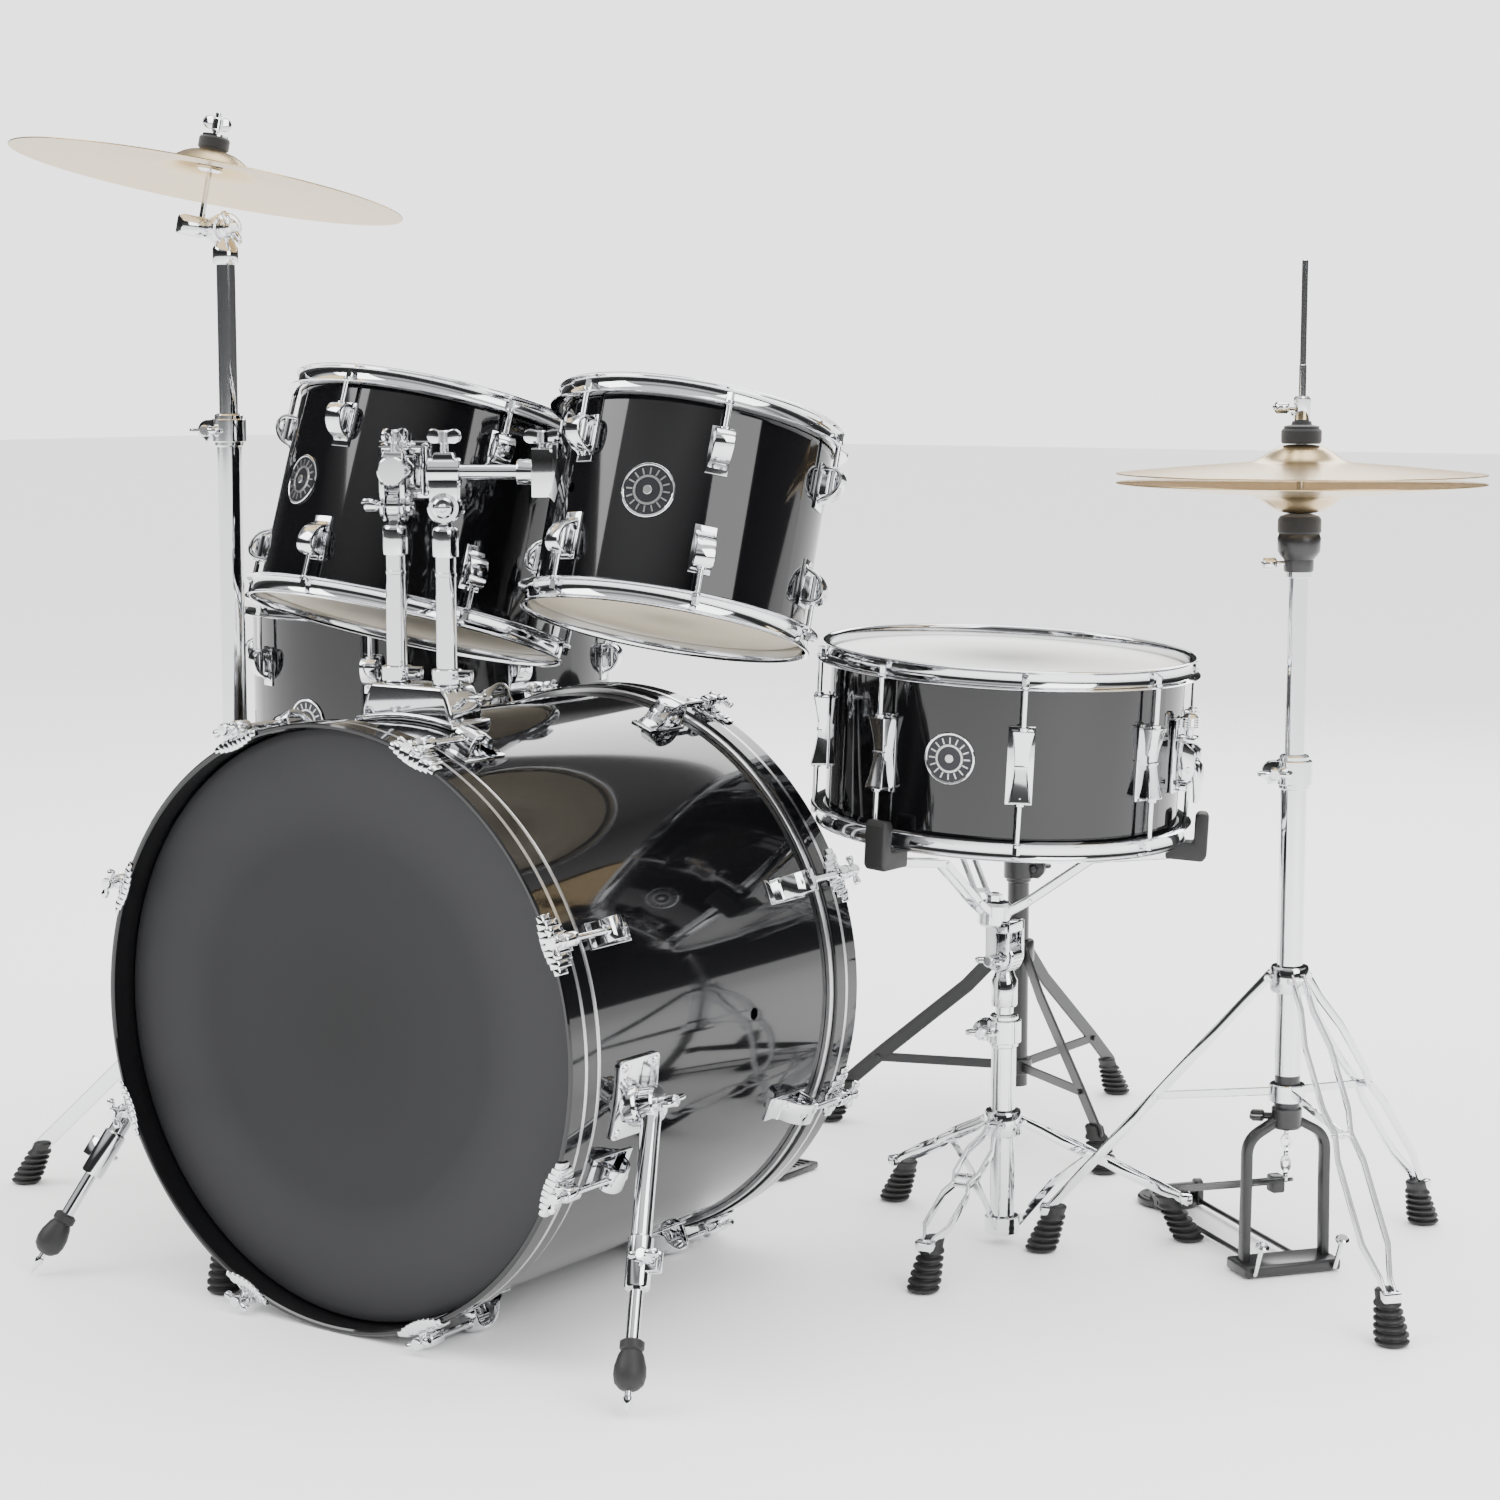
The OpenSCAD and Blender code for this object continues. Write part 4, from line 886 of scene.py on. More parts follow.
class DRUMKIT_OT_tom_holders(bpy.types.Operator):
    """Posts, ratchet tilters, arms and shell brackets of both rack toms"""
    bl_idname = "drumkit.tom_holders"
    bl_label = "Tom holders"

    def execute(self, context):
        for side, azimuth, reach, tom in TOM_HOLDERS:
            tom_post(side, azimuth)
        for side, azimuth, reach, tom in TOM_HOLDERS:
            self.tilter(side, azimuth, reach, tom)
        return {"FINISHED"}

    def tilter(self, side, azimuth, reach, tom):
        cheeks = [put(ring([(3.8, -2.2), (14, -2.2), (15.4, -1), (15.4, 1), (14, 2.2), (3.8, 2.2)], 40),
                      shift(0, s * 9.6, HINGE_Z) @ turn("X", 90)) for s in BOTH]
        webs = [side_plate([(-13, HINGE_Z + 4), (13, HINGE_Z + 4), (14, ARM_Z - 2), (-14, ARM_Z - 2)], 4.4,
                           1, s * 9.6) for s in BOTH]
        bolt = pin((0, -19, HINGE_Z), (0, 18, HINGE_Z), 4, 24)
        cap = put(turned([(0, 0), (9, 0), (10, 1), (10, 4), (8, 6), (0, 6.5)], 32), shift(0, -12, HINGE_Z)
                  @ turn("X", 90))
        slot = block((15, 1.6, 2.4), (0, -18.4, HINGE_Z), 0.3)
        wing = put(wing_bolt(4, 17, 4), shift(0, 12, HINGE_Z) @ turn("Z", 90) @ turn("X", 20))
        head = put(turned([(0, -16), (12.6, -16), (14, -14.6), (14, 14), (12.6, 15.4), (0, 15.4)], 40),
                   shift(0, 0, ARM_Z) @ turn("Y", 90))
        saddle = side_plate([(-12, ARM_Z + 6), (12, ARM_Z + 6), (9, ARM_Z + 19), (-9, ARM_Z + 19)], 20, 2)
        top = put(wing_bolt(9, 18, 4), shift(0, 0, ARM_Z + 17) @ turn("Y", -90) @ turn("X", 65))
        arm = put(turned([(0, 0), (7, 0), (7, reach - 6), (0, reach - 6)], 32), shift(0, 0, ARM_Z)
                  @ turn("Y", 90))
        sleeve = put(turned([(0, reach - 34), (11, reach - 34), (12.4, reach - 32), (12.4, reach - 20),
                             (0, reach - 20)], 32), shift(0, 0, ARM_Z) @ turn("Y", 90))
        frame_plate = [block((26, 4, 46), (reach - 6, s * 20, ARM_Z), 1.4) for s in BOTH]
        bars = [block((26, 40, 4), (reach - 6, 0, ARM_Z + s * 21), 1.4) for s in BOTH]
        back = block((7, 52, 56), (reach + 4, 0, ARM_Z), 2)
        grip = block((18, 26, 30), (reach - 10, 0, ARM_Z), 3)
        clamp = put(wing_bolt(12, 18, 4), shift(reach - 10, 0, ARM_Z + 14) @ turn("Y", -90) @ turn("X", 90))
        screws = [put(screw_head(3.6, 2.4), shift(reach + 0.4, y, ARM_Z + z) @ turn("Y", -90))
                  for y in (-20, 20) for z in (-22, 22)]
        holder = joined(*cheeks, *webs, bolt, cap, slot, wing, head, saddle, top, arm, sleeve,
                        *frame_plate, *bars, back, grip, clamp, *screws)
        put(holder, KIT @ shift(POST[side], POST_Y, 0) @ turn("Z", azimuth))
        chromed(holder, f"tom_{side}_tilter", tom, f"tom_arm_{side}")


# ---------- toms and snare drum ----------

class DRUMKIT_OT_tom_hardware(bpy.types.Operator):
    """Arched lugs and badges of the rack toms and the floor tom's badge"""
    bl_idname = "drumkit.tom_hardware"
    bl_label = "Tom lugs and badges"

    def execute(self, context):
        for tom, first_rod, plate in (("tom12", 30, -108), ("tom10", 16, -70)):
            drum = SMALL_DRUMS[tom]
            spots = on_drum(drum.place, end_places(6, first_rod, drum.depth / 2 - 28))
            chromed(repeated(arched_lug(drum.radius), spots), f"{tom}_arched_lugs", tom, f"{tom}_lugs")
            badge(drum, plate, 0, tom)
        badge(FLOOR_TOM, -92, 58, "floor_tom")
        return {"FINISHED"}


def flanged_hoop(r, e):
    """Triple-flanged hoop: ear flange, wall and rolled lip."""
    return ring([(r + 1.9, e - 6.8), (r + 13.4, e - 6.8), (r + 14.7, e - 5.8), (r + 13.4, e - 4.9),
                 (r + 8.2, e - 4.5), (r + 6.7, e - 3.2), (r + 6.3, e + 3), (r + 6.5, e + 8.2),
                 (r + 7.4, e + 9.8), (r + 9.2, e + 10.6), (r + 9.5, e + 11.6), (r + 8.4, e + 12.4),
                 (r + 6.4, e + 12.2), (r + 5.0, e + 10.8), (r + 4.6, e + 8.6), (r + 4.6, e - 3.4),
                 (r + 1.9, e - 4.4)], 112)


def stretched_film(r, e):
    """Flat film that drops over the edge of a shell."""
    return ring([(0, e + 0.2), (r - 0.8, e + 0.2), (r + 0.5, e - 1), (r + 0.6, e - 4.2),
                 (r + 1.6, e - 4.2), (r + 1.5, e - 0.6), (r + 0.4, e + 0.8), (r - 7, e + 1.2),
                 (0, e + 1.2)], 112)


class DRUMKIT_OT_drum_ends(bpy.types.Operator):
    """Flanged hoops and stretched films at both ends of the four smaller drums"""
    bl_idname = "drumkit.drum_ends"
    bl_label = "Hoops and films of the smaller drums"

    def execute(self, context):
        for name, drum in SMALL_DRUMS.items():
            film, slot = (coated_film, "white_head") if name == "snare" else (clear_film, "clear_head")
            ends, edge = [drum.place, drum.place @ turn("X", 180)], drum.depth / 2
            chromed(repeated(flanged_hoop(drum.radius, edge), ends), name + "_flanged_hoops", drum.body,
                    name + "_hoops", angle=50)
            add_piece(repeated(stretched_film(drum.radius, edge), ends), name + "_films", film(), drum.body,
                      name + "_heads", slot=slot)
        return {"FINISHED"}


class DRUMKIT_OT_floor_tom_legs(bpy.types.Operator):
    """Floor tom's brackets, bent legs and rubber feet"""
    bl_idname = "drumkit.floor_tom_legs"
    bl_label = "Floor tom legs"

    def execute(self, context):
        radius, out, knee = FLOOR_TOM.radius, 24, 22
        x = radius + out
        bend = [(x + knee * (1 - math.cos(math.radians(a))) / 2, 0, 150 - 90 * a / 180)
                for a in range(15, 180, 15)]
        leg = bent_rod([(x, 0, 499), (x, 0, 152), *bend, (x + knee, 0, 58), (x + knee, 0, 14)], 4.75, 4)
        foot = put(turned([(0, 0.2), (13, 0.2), (14.6, 1.6), (14.6, 7), (13, 9), (13.6, 11), (13.6, 15),
                           (12, 17), (12.4, 19), (12.2, 23), (10.8, 25), (10.6, 33), (9, 36), (0, 36)],
                          28), shift(x + knee, 0, 0))
        plate = cut_plate([(-17, -34), (17, -34), (17, 34), (-17, 34)], 3, 1)
        wrap_round(plate, radius)
        put(plate, on_shell(radius + 0.2, 0, 0))
        body = block((30, 22, 46), (radius + 18, 0, 0), 4, 3)
        jaw = block((12, 26, 40), (radius + 31, 0, 0), 3, 2)
        wing = put(wing_bolt(7, 17, 4), shift(radius + 34, 0, 0) @ turn("X", 90))
        bracket = put(joined(plate, body, jaw, wing), shift(0, 0, 400))
        floor = floor_frame("floor_tom_shell")
        spots = [floor @ place for place in around(3, 90)]
        chromed(repeated(leg, spots), "floor_tom_bent_legs", "floor_tom_legs", "floor_tom_legs")
        rubbered(repeated(foot, spots), "floor_tom_rubber_feet", "floor_tom_legs")
        chromed(repeated(bracket, spots), "floor_tom_brackets", "kit", "floor_tom_leg_brackets")
        return {"FINISHED"}


class DRUMKIT_OT_snare_hardware(bpy.types.Operator):
    """Snare drum's waisted lugs, badge, strainer and lever"""
    bl_idname = "drumkit.snare_hardware"
    bl_label = "Snare drum hardware"

    def execute(self, context):
        r = SNARE.radius
        lugs = repeated(waisted_lug(r), on_drum(SNARE.place, around(8, -55)))
        chromed(lugs, "snare_waisted_lugs", "snare_drum", "snare_lugs")
        badge(SNARE, -77, 2, "snare")
        side = SNARE.place @ turn("Z", 12)
        plate = block((4, 34, 74), (r + 1.8, 0, 0), 1.2)
        cheeks = [side_plate([(r + 1, -24), (r + 20, -22), (r + 23, -14), (r + 23, 6), (r + 14, 14),
                              (r + 1, 18)], 4, 1, s * 12) for s in BOTH]
        knurls = [(7.4 + 0.6 * (i % 2), 12 + i * 1.2) for i in range(8)]
        knob = put(turned([(0, 0), (4, 0), (4, 8), (7, 9), (8, 11), *knurls, (7, 22), (5, 24), (0, 24)],
                          28), shift(r + 13, 0, 18))
        yoke = block((20, 20, 6), (r + 11, 0, 17), 1.5)
        foot = block((16, 26, 8), (r + 8, 0, -30), 1.5)
        butt = [put(block((4, 32, 34), (r + 1.8, 0, -24), 1.2), turn("Z", 180)),
                put(block((15, 26, 9), (r + 8, 0, -30), 1.5), turn("Z", 180))]
        screws = [put(screw_head(3, 2), turn("Z", 180) @ shift(r + 15.4, y, -30) @ turn("Y", 90))
                  for y in (-7, 7)]
        chromed(put(joined(plate, *cheeks, knob, yoke, foot, *butt, *screws), side), "snare_throw_off",
                "snare_drum", "snare_strainer")
        tail = [(r + 29, -20), (r + 27, -44), (r + 22, -46), (r + 20, -24)]
        lever = side_plate([(r + 19, -12)] + arc((r + 20, -12), 8, 200, 20, 8) + tail, 14, 1.4)
        axle = pin((r + 17, -15.5, -12), (r + 17, 15.5, -12), 2.9, 16)
        chromed(put(joined(lever, axle), side), "snare_throw_lever", "snare_lever", "snare_lever")
        return {"FINISHED"}


class DRUMKIT_OT_snare_basket(bpy.types.Operator):
    """Basket that holds the snare drum: hub, three bent arms and rubber claws"""
    bl_idname = "drumkit.snare_basket"
    bl_label = "Snare basket"

    def execute(self, context):
        low = -SNARE.depth / 2 - 12.7      # just under the lower hoop
        r = SNARE.radius + 15
        hub = turned([(0, low - 102), (14, low - 102), (17, low - 99), (17, low - 80), (14, low - 77),
                      (0, low - 77)], 40)
        nut = turned([(0, low - 77), (8, low - 77), (8, low - 70), (5, low - 68), (0, low - 68)], 6)
        arms, claws = [], []
        for a in (25, 145, 265):
            way = turn("Z", a)
            line = [(12, low - 88), (34, low - 74), (96, low - 25), (r - 8, low - 13)]
            pair = [side_strap(line, 8, 3, s * 6.5) for s in BOTH]
            tie_spots = ((36, low - 73), (96, low - 25), (r - 14, low - 13.4))
            ties = [pin((x, -9.5, z), (x, 9.5, z), 2.6, 14) for x, z in tie_spots]
            arms += [put(part, way) for part in pair + ties]
            claw = side_plate([(r - 24, low - 18), (r + 13, low - 19), (r + 17, low - 14),
                               (r + 17, low + 26), (r + 14, low + 30), (r + 6, low + 30),
                               (r + 3.2, low + 26), (r + 3.2, low - 0.3), (r - 24, low - 0.3)], 24, 2.4, 0,
                              3)
            claws.append(put(claw, way))
        chromed(put(joined(hub, nut, *arms), SNARE.place), "snare_basket_arms", "snare_drum",
                "snare_basket")
        rubbered(put(joined(*claws), SNARE.place), "snare_basket_claws", "snare_drum")
        neck = floor_frame("snare_upper_tube")
        cheeks = [side_plate(arc((0, 300), 13, 180, 360, 10) + [(13, 338), (-13, 338)], 5, 1, s * 15)
                  for s in BOTH]
        cap = block((26, 36, 12), (0, 0, 332), 2)
        bolt = pin((0, -22, 300), (0, 20, 300), 4, 20)
        wing = put(wing_bolt(4, 17, 4), shift(0, -18, 300) @ turn("Z", -90))
        chromed(put(joined(*cheeks, cap, bolt, wing), neck), "snare_basket_neck", "snare_drum")
        knuckle = put(ring([(4.2, -10.8), (14.6, -10.8), (16, -9.4), (16, 9.4), (14.6, 10.8), (4.2, 10.8)],
                           40), shift(0, 0, 300) @ turn("X", 90))
        ribs = put(repeated(block((1.4, 1.4, 16), (16, 0, 0), 0.3), around(24)), shift(0, 0, 300)
                   @ turn("X", 90))
        tube = turned([(0, 60), (9.5, 60), (9.5, 248), (12.5, 249), (13.5, 251), (13.5, 276), (11, 280),
                       (9, 288), (0, 288)], 40)
        chromed(put(joined(knuckle, ribs, tube), neck), "snare_stand_upper_tube", "snare_tube",
                "snare_upper_tube")
        return {"FINISHED"}


# ---------- stands ----------

def rubber_foot(leg_radius, lean):
    """Ribbed rubber foot at the end of a leg, leaning with it."""
    profile = [(0, 0.4), (13, 0.4), (15.5, 2), (16.5, 4)]
    for i in range(5):
        z, r = 7 + i * 6.5, 16.6 - i * 0.9
        profile += [(r - 3.4, z - 1.2), (r - 3.4, z + 0.6), (r, z + 2), (r, z + 3.8)]
    profile += [(10.6, 40), (10.6, 47), (8.6, 49), (0, 49)]
    foot = turned(profile, 28)
    slope = math.tan(math.radians(lean))
    for v in foot.data.vertices:
        v.co.x -= max(0, v.co.z - 0.004) * slope
    return put(foot, shift(leg_radius + 2, 0, 0))


def twin_straps(top, foot):
    """Two flat bars on edge that part below the collar and meet again at the foot."""
    run, drop = foot[0] - top[0], top[1] - foot[1]
    length = math.hypot(run, drop)
    place = shift(top[0], 0, top[1]) @ turn("Y", math.degrees(math.atan2(drop, run)))
    bars = []
    for side in BOTH:
        line = [(-4, 6), (length * 0.10, 6), (length * 0.22, 13), (length * 0.42, 13), (length * 0.50, 8),
                (length * 0.58, 13), (length * 0.84, 13), (length * 0.94, 5), (length + 3, 5)]
        bars.append(put(cut_plate(strap_outline([(x, side * y) for x, y in line], 2.8), 9, 0.8),
                        place @ shift(0, 0, -4.5)))
    bars.append(put(pin((length * 0.5, -10, 0), (length * 0.5, 10, 0), 2.6, 14), place))
    return bars


def tripod(frame_at, azimuth, leg, brace, collar, lower_ring, foot_radius, lean, name, node, double):
    """Legs along (radius, height) points, with braces, riveted joints and collars.

    Double legs are pairs of straps; single ones are flat bars and have a wing bolt at the collar.
    """
    top, end = leg[0], leg[-1]
    parts = []
    for i in range(3):
        bits = twin_straps(top, end) if double else [side_strap(leg, 17, 3.4, 0)]
        reach = 11 if double else 5
        bits += [pin((x, -reach, z), (x, reach, z), 3.2, 16) for x, z in (top, brace[-1])]
        bits.append(side_strap(brace, 8 if double else 11, 3, 0))
        bits.append(block((12, 12, 14), (top[0] - 8, 0, top[1]), 1.6))
        bits.append(block((10, 9, 12), (brace[0][0] - 5, 0, brace[0][1]), 1.4))
        if double:
            bits.append(block((12, 18, 10), (end[0], 0, end[1] + 2), 1.5))
        parts += [put(part, turn("Z", azimuth + 120 * i)) for part in bits]
    r = 12.9
    parts.append(ring([(r, collar - 14), (r + 5, collar - 14), (r + 6.4, collar - 12),
                       (r + 6.4, collar + 10), (r + 5, collar + 12), (r, collar + 12)], 40))
    parts.append(ring([(r, lower_ring - 9), (r + 4, lower_ring - 9), (r + 5, lower_ring - 8),
                       (r + 5, lower_ring + 8), (r + 4, lower_ring + 9), (r, lower_ring + 9)], 40))
    if not double:
        parts.append(put(wing_bolt(9, 15, 3.6), turn("Z", azimuth + 60) @ shift(r + 4, 0, collar)))
    coat = blackened if node == "throne_legs" else chromed
    coat(put(joined(*parts), frame_at), name, "kit", node)
    feet = repeated(rubber_foot(foot_radius, lean), [frame_at @ place for place in around(3, azimuth)])
    rubbered(feet, name + "_feet", "kit", "rubber_feet")


class DRUMKIT_OT_tripods(bpy.types.Operator):
    """Tripod bases of the snare, hi-hat and crash stands and of the stool"""
    bl_idname = "drumkit.tripods"
    bl_label = "Tripod bases"

    def execute(self, context):
        tripod(floor_frame("snare_upper_tube"), 36.8, [(21, 128), (190, 43)],
               [(16, 20), (52, 62), (90, 90)], 128, 20, 192, 30, "snare_stand_legs", "stand_legs", True)
        tripod(floor_frame("hihat_upper_tube"), 78.7, [(21, 298), (241, 42)], [(16, 182), (130, 170)],
               298, 182, 244, 20, "hihat_stand_legs", "stand_legs", True)
        tripod(floor_frame("crash_upper_tube"), 70, [(21, 262), (60, 231), (160, 140), (273, 38)],
               [(16, 150), (110, 172)], 262, 150, 287, 30, "crash_stand_legs", "stand_legs", False)
        tripod(floor_frame("throne_seat"), 85.9, [(21, 212), (60, 170), (165, 82), (210, 42)],
               [(16, 76), (166, 80)], 215, 76, 222, 30, "stool_legs", "throne_legs", False)
        return {"FINISHED"}


def lower_tube(at_node, low, top, bolt_azimuth, name, node):
    """Lower stand tube from low to top, with its cuff, height clamp and stop ring."""
    tube = ring([(10.9, low), (12.7, low), (12.7, top - 32), (10.9, top - 32)], 40)
    cuff = ring([(9.7, top - 34), (12.9, top - 34), (14.6, top - 32.5), (14.6, top - 1.5), (13.4, top),
                 (9.7, top)], 40)
    band = put(clamp_collar(14.4, 3.2, 24, 15, 17), turn("Z", bolt_azimuth) @ shift(0, 0, top - 29))
    stop = ring([(9.7, top - 0.5), (12.6, top - 0.5), (12.6, top + 0.4), (9.7, top + 0.4)], 40)
    coat = blackened if node == "throne_legs" else chromed
    coat(put(joined(tube, cuff, band, stop), floor_frame(at_node)), name, "kit", node)


class DRUMKIT_OT_lower_tubes(bpy.types.Operator):
    """Lower tubes of the stands with their height clamps"""
    bl_idname = "drumkit.lower_tubes"
    bl_label = "Lower tubes"

    def execute(self, context):
        lower_tube("snare_upper_tube", 12, 240, 195, "snare_stand_lower_tube", "stand_tubes")
        lower_tube("hihat_upper_tube", 200, 520, 205, "hihat_stand_lower_tube", "stand_tubes")
        lower_tube("crash_upper_tube", 120, 850, 205, "crash_stand_lower_tube", "stand_tubes")
        lower_tube("throne_seat", 52, 330, 20, "stool_lower_tube", "throne_legs")
        return {"FINISHED"}


# ---------- hi-hat ----------

class DRUMKIT_OT_hihat(bpy.types.Operator):
    """Hi-hat cymbals, clutch, felts, seat, pull rod and chain"""
    bl_idname = "drumkit.hihat"
    bl_label = "Hi-hat cymbals and rod"

    def execute(self, context):
        stand = floor_frame("hihat_upper_tube")
        top_place, low_place = stand @ shift(0, 0, 794), stand @ shift(0, 0, 786.3) @ turn("X", 180)
        for place, level, body in ((top_place, "top", "hihat_rod"), (low_place, "bottom", "hihat_tube")):
            add_piece(put(cymbal(177.8, 13, 15.5), place), f"hihat_{level}_plate",
                      bronze("hihat_bronze", top_place), body, f"hihat_{level}_cymbal", slot="bronze",
                      angle=50)
        rod = [pin((0, 0, 150), (0, 0, 901), 3.5, 20, 1.2), pin((0, 0, 899), (0, 0, 1001), 3, 20, 1.2),
               turned([(0, 811), (7, 811), (8, 813), (8, 820), (4.6, 820.5), (4.6, 826), (0, 826)], 24),
               turned([(0, 846), (7, 846), (8, 847.5), (8, 868), (6.5, 870), (0, 870)], 28)]
        rod.append(put(wing_bolt(8, 13, 3), shift(0, 0, 859) @ turn("Z", 215) @ shift(5, 0, 0)))
        rod.append(put(t_bolt(6, 16, 2.6), shift(0, 0, 853) @ turn("Z", 125) @ shift(4, 0, 0)))
        for i in range(5):
            link = ring([(3.0, -1.3), (5.6, -1.3), (5.6, 1.3), (3.0, 1.3)], 16)
            put(link, Matrix.Scale(1.5, 4, Vector((1, 0, 0))))
            rod.append(put(link, shift(0, 0, 98 + 11 * i) @ turn("Z", 37 + 90 * i) @ turn("Y", 90)))
        chromed(put(joined(*rod), stand), "hihat_rod_and_clutch", "hihat_rod", "hihat_pull_rod")
        felt = ring([(4.8, 824.2), (18, 824.2), (19.5, 826), (19.5, 836.5), (18, 838.5), (4.8, 838.5)], 40)
        cap = ring([(4.8, 838.6), (17, 838.6), (17, 841), (10, 842.5), (9, 846), (4.8, 846)], 40)
        add_piece(put(joined(felt, cap), stand), "hihat_top_felts", black_felt(), "hihat_rod",
                  slot="rubber")
        seat_felt = ring([(4.8, 737), (19.5, 737), (21, 739), (21, 751), (19, 754), (12, 756.4),
                          (4.8, 756.4)], 40)
        add_piece(put(seat_felt, stand), "hihat_seat_felt", black_felt(), "hihat_tube", slot="rubber")
        cup = ring([(4, 700), (13.6, 700), (14.6, 702), (14.6, 712), (18, 716), (20.5, 720), (21, 733),
                    (19.5, 736.8), (4, 736.8)], 40)
        blackened(put(cup, stand), "hihat_seat_cup", "hihat_tube")
        tube = ring([(4.2, 380), (9.5, 380), (9.5, 694), (12.5, 695), (12.5, 700), (4.2, 700)], 40)
        tilt = put(wing_bolt(14, 9, 2.6), shift(0, 0, 708) @ turn("Z", 215) @ shift(8, 0, 0))
        chromed(put(joined(tube, tilt), stand), "hihat_stand_upper_tube", "hihat_tube", "hihat_upper_tube")
        return {"FINISHED"}


def footboard(toe, heel, width_toe, width_heel, place):
    """Ribbed pedal board from toe to heel, both (distance, height)."""
    length = math.hypot(heel[0] - toe[0], heel[1] - toe[1])
    slope = math.degrees(math.atan2(toe[1] - heel[1], heel[0] - toe[0]))
    wt, wh = width_toe / 2, width_heel / 2
    outline = arc((wt * 0.7, 0), wt, 110, 250, 10) + [(length * 0.3, -wt), (length * 0.72, -wh),
            (length, -wh), (length, wh), (length * 0.72, wh), (length * 0.3, wt)]
    board = cut_plate(outline, 4.2, 1.2)
    ribs = [block((2.2, (wt if i < 4 else wh) * 1.5, 2), (length * 0.14 + i * length * 0.11, 0, 4.8), 0.6)
            for i in range(7)]
    rails = [block((length * 0.78, 2.4, 7), (length * 0.50, s * (wh - 1.4), 1.4), 0.6) for s in BOTH]
    return put(joined(board, *ribs, *rails),
               place @ shift(toe[0], 0, toe[1]) @ turn("Y", slope) @ shift(0, 0, -2))


class DRUMKIT_OT_hihat_pedal(bpy.types.Operator):
    """Hi-hat pedal: arch frame, base, heel plate, rods, spurs and board"""
    bl_idname = "drumkit.hihat_pedal"
    bl_label = "Hi-hat pedal"

    def execute(self, context):
        heel = Vector(joint("hihat_pedal")["pos_m"])
        stand = floor_frame("hihat_upper_tube")
        way = heel - stand.translation
        place = stand @ Matrix.Rotation(math.atan2(way.y, way.x), 4, "Z")
        w = 42
        arch = [(-w - 2, 10), (-w - 1, 90)] + arc((-w + 23, 122), 24, 180, 118, 5) + [(-12, 153)]
        sides = []
        for s in BOTH:
            strap = cut_plate(strap_outline([(s * x, z) for x, z in arch], 9), 11, 1.5)
            sides.append(put(strap, turn("Z", 90) @ shift(0, 5.5, 0) @ UPRIGHT))
        hub = turned([(0, 146), (13.5, 146), (15, 148), (15, 166), (12.8, 168), (12.4, 199.6), (0, 199.6)],
                     40)
        wing = put(wing_bolt(10, 14, 3.6), shift(0, 0, 157) @ turn("Z", 60) @ shift(12, 0, 0))
        foot = block((44, 106, 12), (0, 0, 7), 3, 3)
        rods = [pin((16, s * 25, 7), (248, s * 25, 6), 2.6, 14) for s in BOTH]
        plate = turned([(0, 0.3), (32, 0.3), (34, 2), (34, 7), (32, 9), (0, 9)], 48)
        treads = [ring([(r, 8.6), (r + 2, 8.6), (r + 2, 9.8), (r, 9.8)], 48) for r in (10, 18, 26)]
        heel_plate = put(joined(plate, *treads), shift(264, 0, 0))
        ears = [side_plate([(236, 2), (254, 2), (252, 24)] + arc((244, 22), 8, 15, 165, 6) + [(236, 24)],
                           7, 1, s * 24) for s in BOTH]
        spurs = []
        for s in BOTH:
            spur = turned([(0, -2), (2.4, 2), (2.4, 34), (6, 34.5), (7, 36), (7, 38), (5, 40), (0, 40)], 16)
            spurs.append(put(spur, shift(-24, s * 44, 4) @ turn("Y", -24)))
        blackened(put(joined(*sides, hub, wing, foot, *rods, heel_plate, *ears), place),
                  "hihat_pedal_arch", "kit", "hihat_pedal_frame")
        chromed(put(joined(*spurs), place), "hihat_pedal_spurs", "kit")
        deck = footboard((14, 88), (238, 22), 44, 36, place)
        barrel = put(pin((244, -18.6, 20), (244, 18.6, 20), 6.8, 24), place)
        axle = put(pin((244, -30, 20), (244, 30, 20), 2.9, 16), place)
        hook = put(block((16, 14, 18), (20, 0, 84), 2.5), place)
        blackened(joined(deck, barrel, axle, hook), "hihat_pedal_board", "hihat_footboard",
                  "hihat_footboard")
        return {"FINISHED"}


# ---------- crash cymbal ----------

